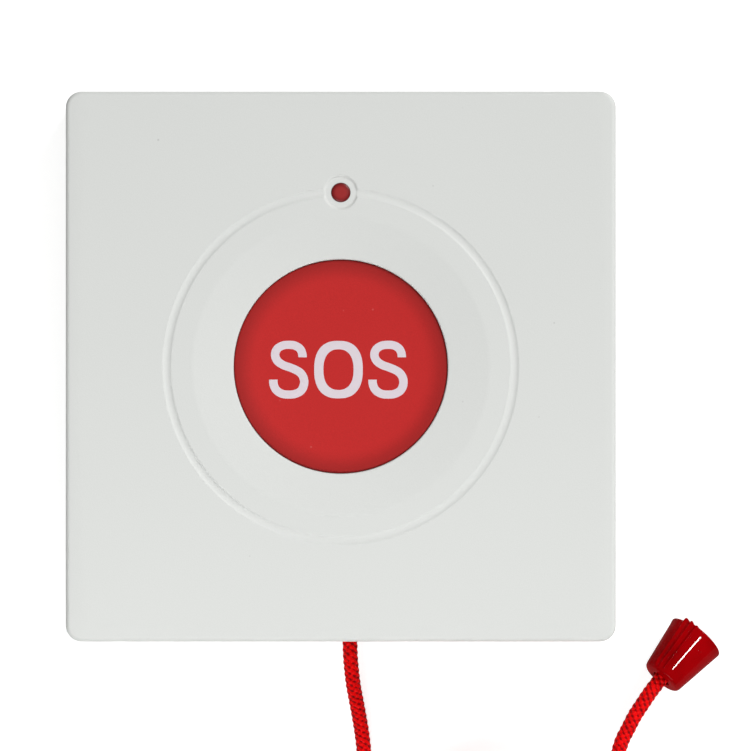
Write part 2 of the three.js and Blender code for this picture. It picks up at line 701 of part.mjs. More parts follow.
function slider() {
  const low = box(sliderLeftX, sliderRightX, sliderLowY, sliderTopY, sliderLowZ, sliderTopZ);
  const cam = new THREE.Shape();
  cam.moveTo(CORD_X - 1, sliderLowY);
  cam.lineTo(sliderLeftX, sliderLowY);
  for (let i = 0; i <= 4; i += 1) {
    const pull = (PULL_TRAVEL * i) / 4;
    const [x, y] = leverTip(pull);
    cam.lineTo(x + LEVER_TIP_R + CLEAR, y + pull);
  }
  cam.lineTo(camPeakX, sliderTopY);
  cam.lineTo(CORD_X - 1, sliderTopY);
  cam.closePath();
  const block = join(low, slab(cam, camLowZ, sliderTopZ));
  return cut(
    block,
    rodAlongY(boreR, sliderLowY - 1, pocketLowY + 0.5, CORD_X, CORD_Z, 16),
    box(CORD_X - boreR, CORD_X + boreR, sliderLowY - 1, pocketLowY + 0.5, CORD_Z, sliderTopZ + 1),
    rodAlongY(pocketR, pocketLowY, pocketTopY, CORD_X, CORD_Z, 20),
    box(CORD_X - pocketR, CORD_X + pocketR, pocketLowY, pocketTopY, CORD_Z, sliderTopZ + 1),
  );
}

function keeper() {
  const x1 = keeperRightX;
  const plate = box(x1 - KEEPER_W, x1, keeperY - KEEPER_LENGTH / 2, keeperY + KEEPER_LENGTH / 2, keeperZ, keeperZ + KEEPER_T);
  const holes = keeperHoles().map(([x, y]) => rod(SCREW_SHANK_R + CLEAR, keeperZ - 1, keeperZ + KEEPER_T + 1, x, y, 16));
  return cut(plate, ...holes);
}

function knot(rAcross, halfLength) {
  const profile = [[0, -halfLength]];
  for (const deg of [-50, -20, 20, 50]) {
    profile.push([rAcross * Math.cos(rad(deg)), halfLength * Math.sin(rad(deg))]);
  }
  profile.push([0, halfLength]);
  return turned(profile, 14);
}

function pullSwitchBody() {
  const lowZ = leverZ - PS_WIDTH / 2;
  const highZ = leverZ + PS_WIDTH / 2;
  const block = box(psFaceX - PS_DEPTH, psFaceX, psLowY, psLowY + PS_LENGTH, lowZ, highZ);
  const lugX = pivotX + LEVER_HUB_R;
  const lugs = [lowZ, highZ - LUG_T].map((z) => box(psFaceX - 0.5, lugX, pivotY - LEVER_HUB_R, pivotY + LEVER_HUB_R, z, z + LUG_T));
  const boreDepth = PS_PLUNGER_HIDDEN + CLEAR + LEVER_LENGTH * 0.06;
  return cut(
    join(block, ...lugs),
    rod(LEVER_TRUNNION_R + 0.2, lowZ - 1, highZ + 1, pivotX, pivotY, 14),
    rodAlongX(PS_PLUNGER_R + 0.25, psFaceX - boreDepth, psFaceX + 1, psPlungerY, leverZ, 14),
  );
}

function pullSwitchLever() {
  const zLow = leverZ - LEVER_W / 2;
  const zHigh = leverZ + LEVER_W / 2;
  const blade = box(-LEVER_T / 2, LEVER_T / 2, 0, LEVER_LENGTH, zLow, zHigh);
  const tip = rod(LEVER_TIP_R, zLow, zHigh, 0, LEVER_LENGTH, 12);
  const hub = rod(LEVER_HUB_R - 0.15, zLow, zHigh, 0, 0, 14);
  const trunnion = rod(LEVER_TRUNNION_R, leverZ - PS_WIDTH / 2 + CLEAR, leverZ + PS_WIDTH / 2 - CLEAR, 0, 0, 14);
  return join(blade, tip, hub, trunnion);
}

function pullSwitchPlunger() {
  const sweep = rad(LEVER_REST_DEG);
  const bladeX = pivotX + PS_PLUNGER_FROM_PIVOT * Math.tan(sweep) - LEVER_T / 2 / Math.cos(sweep);
  const x1 = bladeX - PS_PLUNGER_GAP;
  return rodAlongX(PS_PLUNGER_R, psFaceX - PS_PLUNGER_HIDDEN, x1, psPlungerY, leverZ, 12);
}

function pullSpring() {
  const y1 = sliderLowY - SEAT;
  const y0 = bushInnerY + SEAT;
  const spring = coilSpring(PULL_SPRING_R, PULL_SPRING_WIRE_R, PULL_SPRING_TURNS, y1 - y0);
  return spring.rotateX(-Math.PI / 2).translate(CORD_X, y0, CORD_Z);
}

function cordBush() {
  const flangeR = bushR + BUSH_FLANGE_W;
  const lengthOut = bushInnerY - bushOuterY;
  const bush = turned([
    [boreR, 0],
    [bushR, 0],
    [bushR, lengthOut - BUSH_FLANGE_T],
    [flangeR, lengthOut - BUSH_FLANGE_T],
    [flangeR, lengthOut],
    [boreR, lengthOut],
    [boreR, 0],
  ], 24);
  return bush.rotateX(-Math.PI / 2).translate(CORD_X, bushOuterY, CORD_Z);
}

// Cord, coil and knob

function knobAxis() {
  const level = Math.cos(rad(KNOB_TILT_DEG));
  const heading = rad(KNOB_HEADING_DEG);
  return new THREE.Vector3(level * Math.cos(heading), level * Math.sin(heading), -Math.sin(rad(KNOB_TILT_DEG)));
}

function knobNarrowEnd() {
  const tilt = rad(KNOB_TILT_DEG);
  const z = KNOB_WIDE_R * Math.cos(tilt) + KNOB_LENGTH * Math.sin(tilt) + 0.02;
  return new THREE.Vector3(KNOB_X, KNOB_Y, z);
}

function alongKnob(distance) {
  const p = knobNarrowEnd().addScaledVector(knobAxis(), distance);
  return [p.x, p.y, p.z];
}

function knobShell() {
  const cavityR = KNOT_R + CLEAR;
  const cavityTop = KNOB_LENGTH - KNOB_CAVITY_DEPTH;
  const slope = (KNOB_WIDE_R - KNOB_NARROW_R) / KNOB_LENGTH;
  const outer = (t) => KNOB_NARROW_R + slope * t;
  const bell = turned([
    [boreR, 0],
    [outer(0) - KNOB_EDGE_R, 0],
    [outer(0) - KNOB_EDGE_R * 0.3, KNOB_EDGE_R * 0.3],
    [outer(KNOB_EDGE_R), KNOB_EDGE_R],
    [outer(KNOB_LENGTH - 0.3), KNOB_LENGTH - 0.3],
    [outer(KNOB_LENGTH) - 0.3, KNOB_LENGTH],
    [cavityR, KNOB_LENGTH],
    [cavityR, cavityTop],
    [boreR, cavityTop - 0.4],
    [boreR, 0],
  ], 32);
  const ribs = [0, 1, 2].map((i) => {
    const length = KNOB_LENGTH - KNOB_EDGE_R - 0.3;
    const rib = new THREE.CylinderGeometry(KNOB_RIB_R, KNOB_RIB_R, length, 6).rotateX(Math.PI / 2);
    rib.rotateY(Math.atan(slope)).translate(outer(KNOB_EDGE_R + length / 2) - 0.05, 0, KNOB_EDGE_R + length / 2);
    return rib.rotateZ(rad(KNOB_RIB_START_DEG + i * KNOB_RIB_STEP_DEG));
  });
  return join(bell, ...ribs);
}

function placeOnKnobAxis(mesh) {
  const heading = rad(KNOB_HEADING_DEG);
  const tilt = rad(90 + KNOB_TILT_DEG);
  mesh.position.copy(knobNarrowEnd());
  mesh.rotation.set(0, tilt, heading, 'ZYX');
  return mesh;
}

function coilRing() {
  const soft = 0.8;
  const half = coilHalf;
  const high = coilHigh;
  return turned([
    [COIL_MID_R - half, soft],
    [COIL_MID_R - half + soft, 0],
    [COIL_MID_R + half - soft, 0],
    [COIL_MID_R + half, soft],
    [COIL_MID_R + half, high - soft],
    [COIL_MID_R + half - soft, high],
    [COIL_MID_R - half + soft, high],
    [COIL_MID_R - half, high - soft],
    [COIL_MID_R - half, soft],
  ], 32).translate(COIL_X, COIL_Y, 0);
}

function feedTube() {
  const start = knotY - KNOT_HALF_L - 0.2;
  return cordTube([
    [CORD_X, start, CORD_Z],
    [CORD_X, sliderLowY, CORD_Z],
    [CORD_X, bushInnerY, CORD_Z],
    [CORD_X, bushOuterY - 0.6, CORD_Z],
    ...FEED_ROUTE,
  ]);
}

function tailTube() {
  const end = KNOB_LENGTH - KNOB_CAVITY_DEPTH + 0.1;
  return cordTube([...TAIL_ROUTE, alongKnob(0), alongKnob(end)]);
}

// Looks and assembly

function look(color, roughness, metalness = 0) {
  return new THREE.MeshStandardMaterial({ color, roughness, metalness });
}

const looks = {
  plateWhite: look(0xdcdedb, 0.42),
  baseWhite: look(0xd2d4d0, 0.55),
  buttonRed: look(0xbe302e, 0.4),
  lensRed: look(0x9c3030, 0.15),
  knobRed: look(0x96000a, 0.18),
  cordRed: look(0xe8100f, 0.8),
  boardGreen: look(0x1f5a34, 0.5),
  black: look(0x202124, 0.5),
  spacerWhite: look(0xe8e8e4, 0.6),
  acetal: look(0xe9e6dc, 0.45),
  steel: look(0xb8bcc0, 0.3, 1),
  nickel: look(0xc9c7be, 0.25, 1),
  copper: look(0xb8743c, 0.3, 1),
  cellGold: look(0xb48a3a, 0.35, 1),
  sleeve: look(0x2a2c50, 0.4),
};

const group = new THREE.Group();

function place(name, geometry, material) {
  const mesh = new THREE.Mesh(geometry, material);
  mesh.name = name;
  group.add(mesh);
  return mesh;
}

place('front_cover', frontCover(), looks.plateWhite);
place('rear_base', rearBase(), looks.baseWhite);
place('circuit_board', circuitBoard(), looks.boardGreen);
boardHoles().forEach(([x, y], i) => {
  place(`board_screw_${i + 1}`, screw(), looks.steel).position.set(x, y, boardTopZ);
});

place('button_cap', buttonCap(), looks.buttonRed);
const springLength = buttonUnderZ - SEAT - partsZ;
place(
  'button_spring',
  coilSpring(BUTTON_SPRING_R, BUTTON_SPRING_WIRE_R, BUTTON_SPRING_TURNS, springLength),
  looks.steel,
).position.set(0, 0, partsZ);
place('button_switch', tactBody(), looks.black);
place(
  'button_switch_plunger',
  rod(TACT_PLUNGER_R, tactTopZ - TACT_PLUNGER_HIDDEN, plungerTopZ, 0, 0, 20),
  looks.black,
);

place('status_led', ledLens(), looks.lensRed);
place('led_lead_1', ledLead(-1), looks.nickel);
place('led_lead_2', ledLead(1), looks.nickel);
place('led_spacer', ledSpacer(), looks.spacerWhite);

const chipHalf = CHIP_SIZE / 2;
place(
  'radio_chip',
  box(CHIP_X - chipHalf, CHIP_X + chipHalf, CHIP_Y - chipHalf, CHIP_Y + chipHalf, partsZ, partsZ + CHIP_H),
  looks.black,
);
place(
  'crystal_can',
  box(CRYSTAL_X - CRYSTAL_W / 2, CRYSTAL_X + CRYSTAL_W / 2, CRYSTAL_Y - CRYSTAL_L / 2, CRYSTAL_Y + CRYSTAL_L / 2, partsZ, partsZ + CRYSTAL_H),
  looks.nickel,
);
place('capacitor_can', rod(CAPACITOR_R, partsZ, partsZ + CAPACITOR_H, BOARD_HALF_W - CAPACITOR_INSET, CAPACITOR_Y, 24), looks.sleeve);
const aerialLength = AERIAL_TURNS * AERIAL_PITCH + 2 * AERIAL_WIRE_R;
place(
  'aerial_coil',
  coilSpring(AERIAL_R, AERIAL_WIRE_R, AERIAL_TURNS, aerialLength)
    .rotateY(Math.PI / 2)
    .translate(AERIAL_X - aerialLength / 2, AERIAL_Y, partsZ + AERIAL_R + AERIAL_WIRE_R),
  looks.copper,
);

place('battery', battery(), looks.cellGold);
place('battery_contact_plus', contact(plusY), looks.nickel);
place('battery_contact_minus', contact(minusY), looks.nickel);
place('battery_spring', batterySpring(), looks.nickel);

place('pull_slider', slider(), looks.acetal);
place('slider_keeper', keeper(), looks.baseWhite);
keeperHoles().forEach(([x, y], i) => {
  place(`keeper_screw_${i + 1}`, screw(), looks.steel).position.set(x, y, keeperZ + KEEPER_T);
});
place('pull_spring', pullSpring(), looks.steel);
place('cord_bush', cordBush(), looks.spacerWhite);
place('pull_switch', pullSwitchBody(), looks.black);
const lever = place('pull_switch_lever', pullSwitchLever(), looks.steel);
lever.position.set(pivotX, pivotY, 0);
lever.rotation.z = -rad(LEVER_REST_DEG);
place('pull_switch_plunger', pullSwitchPlunger(), looks.buttonRed);

const cordKnot = place('cord_knot', knot(KNOT_R, KNOT_HALF_L), looks.cordRed);
cordKnot.rotation.x = Math.PI / 2;
cordKnot.position.set(CORD_X, knotY, CORD_Z);
place('pull_cord_feed', feedTube(), looks.cordRed);
place('pull_cord_coil', coilRing(), looks.cordRed);
place('pull_cord_tail', tailTube(), looks.cordRed);
placeOnKnobAxis(place('pull_knob', knobShell(), looks.knobRed));
const knobKnot = placeOnKnobAxis(place('knob_knot', knot(KNOT_R, KNOT_HALF_L), looks.cordRed));
knobKnot.position.set(...alongKnob(KNOB_LENGTH - KNOB_CAVITY_DEPTH + KNOT_HALF_L + 0.45));

export default group;
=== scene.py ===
"""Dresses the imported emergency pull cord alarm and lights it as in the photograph.

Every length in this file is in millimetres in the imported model's own frame, and becomes metres
only where a mesh, lamp or camera is made. The rear face lies on the floor at z = 0, +Z comes out
of the front and +Y is the top of the plate.
"""

import json
import logging
import math
from dataclasses import dataclass, field
from enum import Enum

import bpy
import numpy as np
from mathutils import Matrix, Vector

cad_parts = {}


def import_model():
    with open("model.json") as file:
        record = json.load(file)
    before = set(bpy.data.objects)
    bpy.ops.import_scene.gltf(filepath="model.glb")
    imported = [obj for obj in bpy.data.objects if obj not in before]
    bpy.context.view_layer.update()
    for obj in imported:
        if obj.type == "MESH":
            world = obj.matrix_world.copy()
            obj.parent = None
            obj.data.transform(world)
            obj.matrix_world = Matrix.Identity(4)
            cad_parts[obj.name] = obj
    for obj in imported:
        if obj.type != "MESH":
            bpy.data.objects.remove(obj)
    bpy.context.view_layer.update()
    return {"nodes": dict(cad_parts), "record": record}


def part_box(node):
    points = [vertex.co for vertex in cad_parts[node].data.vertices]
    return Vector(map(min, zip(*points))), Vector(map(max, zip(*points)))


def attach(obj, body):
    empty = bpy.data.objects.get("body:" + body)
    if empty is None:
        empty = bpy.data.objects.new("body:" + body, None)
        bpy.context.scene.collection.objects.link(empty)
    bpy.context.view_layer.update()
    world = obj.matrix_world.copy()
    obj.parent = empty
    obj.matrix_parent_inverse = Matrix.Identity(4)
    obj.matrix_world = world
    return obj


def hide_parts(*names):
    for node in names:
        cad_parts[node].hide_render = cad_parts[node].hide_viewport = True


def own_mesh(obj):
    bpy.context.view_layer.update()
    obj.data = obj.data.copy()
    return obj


MM = 0.001
SENSOR_WIDTH = 36.0
STUDIO_WHITE = (1.0, 1.0, 1.0, 1.0)
MIX_COLOUR_A, MIX_COLOUR_B, MIX_COLOUR_OUT = 6, 7, 2
log = logging.getLogger("alarm")


class Body(Enum):
    """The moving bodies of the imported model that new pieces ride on."""

    HOUSING = "housing"
    BUTTON = "button"
    PULL = "pull"


class Grain(Enum):
    """How a surface was made, which sets the scale of its fine relief in millimetres."""

    SPARK = 0.22
    SATIN = 0.45


def linear(red: float, green: float, blue: float) -> tuple[float, float, float, float]:
    """A colour read on the 0 to 255 scale, as scene linear light.

    Args:
        red, green, blue: the colour as a screen shows it.
    Returns:
        The linear colour with an opaque fourth value.
    """
    parts = [c / 255 for c in (red, green, blue)]
    lit = [c / 12.92 if c <= 0.04045 else ((c + 0.055) / 1.055) ** 2.4 for c in parts]
    return (lit[0], lit[1], lit[2], 1.0)


# Surfaces


@dataclass
class Surface:
    """Points and faces of one or more closed skins, with an optional pair of surface coordinates.

    Faces are rows of point numbers. `uv` holds one pair for each corner of each face, in the order
    of the faces.
    """

    points: np.ndarray
    faces: list[np.ndarray]
    uv: list[np.ndarray] | None = None

    def volume(self) -> float:
        """Signed volume: the sum over all triangles of (a x b) . c / 6."""
        total = 0.0
        for block in self.faces:
            first = self.points[block[:, 0]]
            for k in range(1, block.shape[1] - 1):
                b, c = self.points[block[:, k]], self.points[block[:, k + 1]]
                total += float(np.einsum("ij,ij->", np.cross(first, b), c)) / 6
        return total

    def outward(self) -> "Surface":
        """The same skin with its faces turned so that they point outwards."""
        if self.volume() >= 0:
            return self
        uv = None if self.uv is None else [u[:, ::-1] for u in self.uv]
        return Surface(self.points, [f[:, ::-1] for f in self.faces], uv)

    def moved(self, matrix: np.ndarray, shift: np.ndarray) -> "Surface":
        """Every point p goes to matrix p + shift."""
        return Surface(self.points @ matrix.T + shift, self.faces, self.uv)

    def joined(self, *others: "Surface") -> "Surface":
        """One surface that holds this one and the others side by side."""
        points, faces, start = [], [], 0
        for skin in (self, *others):
            points.append(skin.points)
            faces += [f + start for f in skin.faces]
            start += len(skin.points)
        return Surface(np.concatenate(points), faces)


def grid_quads(rows: int, columns: int, wrap_rows: bool, wrap_columns: bool) -> np.ndarray:
    """Four-cornered faces between neighbouring points of a grid numbered row by row.

    Args:
        rows, columns: the size of the grid.
        wrap_rows, wrap_columns: whether the last row or column joins the first again.
    Returns:
        An array of point numbers, four to a face.
    """
    i = np.arange(rows if wrap_rows else rows - 1)
    j = np.arange(columns if wrap_columns else columns - 1)
    i, j = (a.ravel() for a in np.meshgrid(i, j, indexing="ij"))
    down, right = (i + 1) % rows, (j + 1) % columns
    return np.stack([i * columns + j, i * columns + right, down * columns + right, down * columns + j], -1)


def closed_grid(points: np.ndarray, wrap_rows: bool, caps: bool) -> Surface:
    """A skin over a grid whose columns close into rings.

    Each row is a ring. Where the rows don't close on themselves, a fan to the middle of the first
    and of the last ring closes the ends.

    Args:
        points: array of shape (rows, columns, 3).
        wrap_rows: whether the last ring joins the first.
        caps: whether to close both ends.
    Returns:
        The closed skin with outward faces.
    """
    rows, columns, _ = points.shape
    flat = points.reshape(-1, 3)
    faces = [grid_quads(rows, columns, wrap_rows, True)]
    if caps:
        middles = np.stack([points[0].mean(0), points[-1].mean(0)])
        j = np.arange(columns)
        right, last = (j + 1) % columns, (rows - 1) * columns
        count = len(flat)
        flat = np.concatenate([flat, middles])
        faces.append(np.stack([np.full(columns, count), right, j], -1))
        faces.append(np.stack([np.full(columns, count + 1), last + j, last + right], -1))
    return Surface(flat, faces).outward()


def revolved(
    profile: np.ndarray,
    columns: int | np.ndarray,
    bumps: np.ndarray | None = None,
    lifts: np.ndarray | None = None,
) -> Surface:
    """A profile turned about Z: P(i, a) = ((r_i + bump) cos a, (r_i + bump) sin a, z_i + lift).

    A profile that starts and ends at r = 0 closes there, and any other closes on itself.

    Args:
        profile: rows of (r, z).
        columns: how many steps a full turn has, or the angles of the steps themselves.
        bumps: what is added to r, one row for each row of the profile and one column a step.
        lifts: what is added to z in the same way.
    Returns:
        The closed skin.
    """
    on_axis = profile[0, 0] < 1e-9
    rows = profile[1:-1] if on_axis else profile
    angle = np.linspace(0, 2 * np.pi, columns, endpoint=False) if isinstance(columns, int) else columns
    columns = len(angle)
    radius = np.repeat(rows[:, :1], columns, 1)
    if bumps is not None:
        radius = radius + (bumps[1:-1] if on_axis else bumps)
    height = np.repeat(rows[:, 1:], columns, 1)
    if lifts is not None:
        height = height + (lifts[1:-1] if on_axis else lifts)
    grid = np.stack([radius * np.cos(angle), radius * np.sin(angle), height], -1)
    skin = closed_grid(grid, not on_axis, on_axis)
    if on_axis:
        skin.points[-2] = (0, 0, profile[0, 1])
        skin.points[-1] = (0, 0, profile[-1, 1])
    return skin


def rounded_profile(corners: list[tuple[float, float, float]], steps: int = 5) -> np.ndarray:
    """A polyline with each corner replaced by an arc that touches both of its sides.

    The arc of radius q at a corner starts and ends at q / tan(half the corner's angle) from it, and
    is drawn as the quadratic curve through those two points with the corner as its handle.

    Args:
        corners: rows of (r, z, arc radius); an arc radius of 0 keeps the corner sharp.
        steps: points along each arc.
    Returns:
        Rows of (r, z).
    """
    out: list[np.ndarray] = []
    table = np.array(corners, float)
    last = len(table) - 1
    for i, (r, z, arc) in enumerate(table):
        here = np.array([r, z])
        if arc <= 0 or i in (0, last):
            out.append(here[None])
            continue
        back, on = table[i - 1, :2] - here, table[i + 1, :2] - here
        lengths = np.linalg.norm(back), np.linalg.norm(on)
        back, on = back / lengths[0], on / lengths[1]
        half = math.acos(float(np.clip(back @ on, -1, 1))) / 2
        reach = min(arc / math.tan(half), 0.48 * lengths[0], 0.48 * lengths[1])
        t = np.linspace(0, 1, steps + 1)[:, None]
        start, end = here + back * reach, here + on * reach
        out.append((1 - t) ** 2 * start + 2 * t * (1 - t) * here + t**2 * end)
    return np.concatenate(out)


def smooth_step(value: np.ndarray) -> np.ndarray:
    """0 below 0, 1 above 1 and 3v^2 - 2v^3 between them."""
    v = np.clip(value, 0, 1)
    return v * v * (3 - 2 * v)


def spline(points: np.ndarray, per_span: int) -> np.ndarray:
    """A centripetal-like smooth curve through points: on each span the cubic with Catmull-Rom slopes.

    Args:
        points: rows of coordinates, first and last kept as ends.
        per_span: how many pieces each span is cut into.
    Returns:
        The curve's points.
    """
    ends = np.concatenate([2 * points[:1] - points[1:2], points, 2 * points[-1:] - points[-2:-1]])
    p0, p1, p2, p3 = ends[:-3, None], ends[1:-2, None], ends[2:-1, None], ends[3:, None]
    d0 = np.linalg.norm(p1 - p0, axis=-1, keepdims=True)
    d1 = np.linalg.norm(p2 - p1, axis=-1, keepdims=True)
    d2 = np.linalg.norm(p3 - p2, axis=-1, keepdims=True)
    m1 = d1 * ((p1 - p0) / d0 * d1 + (p2 - p1) / d1 * d0) / (d0 + d1)
    m2 = d1 * ((p2 - p1) / d1 * d2 + (p3 - p2) / d2 * d1) / (d1 + d2)
    t = np.linspace(0, 1, per_span, endpoint=False)[None, :, None]
    curve = (
        (2 * t**3 - 3 * t**2 + 1) * p1
        + (t**3 - 2 * t**2 + t) * m1
        + (-2 * t**3 + 3 * t**2) * p2
        + (t**3 - t**2) * m2
    )
    return np.concatenate([curve.reshape(-1, points.shape[1]), points[-1:]])


def arc_lengths(points: np.ndarray) -> np.ndarray:
    """The way along a curve at each of its points, from 0."""
    return np.concatenate([[0.0], np.cumsum(np.linalg.norm(np.diff(points, axis=0), axis=1))])


def resampled(points: np.ndarray, stations: np.ndarray) -> np.ndarray:
    """The curve's points at given ways along it, straight between its own points."""
    along = arc_lengths(points)
    return np.stack([np.interp(stations, along, points[:, k]) for k in range(points.shape[1])], -1)


def mesh_object(
    name: str,
    skin: Surface,
    material: bpy.types.Material,
    crease: float = 35,
    polish: np.ndarray | None = None,
) -> bpy.types.Object:
    """A Blender object at the origin with the skin's points in metres.

    Args:
        name: the piece's name.
        skin: the surface in millimetres.
        material: its finish.
        crease: the angle in degrees above which an edge is drawn sharp.
        polish: how polished each point is, from 0 to 1.
    Returns:
        The linked object.
    """
    mesh = bpy.data.meshes.new(name)
    blocks = [row for block in skin.faces for row in block.tolist()]
    mesh.from_pydata((skin.points * MM).tolist(), [], blocks)
    if skin.uv is not None:
        layer = mesh.uv_layers.new(name="Along")
        layer.data.foreach_set("uv", np.concatenate([u.reshape(-1) for u in skin.uv]).astype(np.float32))
    if polish is not None:
        mesh.attributes.new("polish", "FLOAT", "POINT").data.foreach_set("value", polish.astype(np.float32))
    mesh.polygons.foreach_set("use_smooth", np.ones(len(mesh.polygons), bool))
    mesh.set_sharp_from_angle(angle=math.radians(crease))
    mesh.materials.append(material)
    mesh.update()
    piece = bpy.data.objects.new(name, mesh)
    bpy.context.scene.collection.objects.link(piece)
    return piece


# Shader building


class Tree:
    """A short way to place and link nodes in a material or node group."""

    def __init__(self, tree: bpy.types.NodeTree) -> None:
        """Keeps the node tree that the methods add to."""
        self.tree = tree

    def add(self, kind: str, **settings: object) -> bpy.types.Node:
        """A new node with its settings made."""
        node = self.tree.nodes.new(kind)
        for key, value in settings.items():
            setattr(node, key, value)
        return node

    def feed(self, socket: bpy.types.NodeSocket, value: object) -> None:
        """Links a socket to another, or sets its value."""
        if isinstance(value, bpy.types.NodeSocket):
            self.tree.links.new(value, socket)
        elif socket.type == "VECTOR" and isinstance(value, tuple):
            socket.default_value = value[:3]
        else:
            socket.default_value = value

    def math(self, operation: str, *values: object, clamp: bool = False) -> bpy.types.NodeSocket:
        """The result of a Math node on up to three values."""
        node = self.add("ShaderNodeMath", operation=operation, use_clamp=clamp)
        for socket, value in zip(node.inputs, values):
            self.feed(socket, value)
        return node.outputs[0]

    def mix(self, share: object, first: object, second: object) -> bpy.types.NodeSocket:
        """A colour between two, by share."""
        node = self.add("ShaderNodeMix", data_type="RGBA")
        self.feed(node.inputs["Factor"], share)
        self.feed(node.inputs[MIX_COLOUR_A], first)
        self.feed(node.inputs[MIX_COLOUR_B], second)
        return node.outputs[MIX_COLOUR_OUT]

    def ramp(
        self, value: object, low: float, high: float, to_low: float = 0, to_high: float = 1
    ) -> bpy.types.NodeSocket:
        """A value moved smoothly from one range into another, and held at its ends."""
        node = self.add("ShaderNodeMapRange", interpolation_type="SMOOTHSTEP")
        for socket, given in zip(node.inputs, (value, low, high, to_low, to_high)):
            self.feed(socket, given)
        return node.outputs[0]

    def noise(
        self, vector: object, scale: float, detail: float = 2, roughness: float = 0.5
    ) -> bpy.types.NodeSocket:
        """A noise value at a place."""
        node = self.add("ShaderNodeTexNoise")
        self.feed(node.inputs["Vector"], vector)
        self.feed(node.inputs["Scale"], scale)
        self.feed(node.inputs["Detail"], detail)
        self.feed(node.inputs["Roughness"], roughness)
        return node.outputs["Fac"]

    def here(self) -> bpy.types.NodeSocket:
        """The place on the piece in metres."""
        return self.add("ShaderNodeTexCoord").outputs["Object"]

    def split(self, vector: object) -> list[bpy.types.NodeSocket]:
        """The three parts of a vector."""
        node = self.add("ShaderNodeSeparateXYZ")
        self.feed(node.inputs[0], vector)
        return list(node.outputs)

    def reach(self, x: object, y: object) -> bpy.types.NodeSocket:
        """The distance sqrt(x^2 + y^2)."""
        squares = [self.math("MULTIPLY", value, value) for value in (x, y)]
        return self.math("SQRT", self.math("ADD", *squares))

    def off_half(self, value: object) -> bpy.types.NodeSocket:
        """How far a value is above one half."""
        return self.math("SUBTRACT", value, 0.5)

    def scaled(self, colour: object, share: object) -> bpy.types.NodeSocket:
        """A colour made darker or lighter by a factor."""
        node = self.add("ShaderNodeVectorMath", operation="SCALE")
        self.feed(node.inputs[0], colour)
        self.feed(node.inputs["Scale"], share)
        return node.outputs[0]

    def bump(self, shader: bpy.types.Node, height: object, strength: float, distance: float) -> None:
        """Fine relief of a height in metres on a shader's normal."""
        node = self.add("ShaderNodeBump")
        node.inputs["Strength"].default_value = strength
        node.inputs["Distance"].default_value = distance
        self.feed(node.inputs["Height"], height)
        self.feed(shader.inputs["Normal"], node.outputs[0])

    def group(self, shared: bpy.types.NodeTree, **values: object) -> bpy.types.Node:
        """A shared effect with its own values."""
        node = self.add("ShaderNodeGroup", node_tree=shared)
        for key, value in values.items():
            self.feed(node.inputs[key.replace("_", " ")], value)
        return node


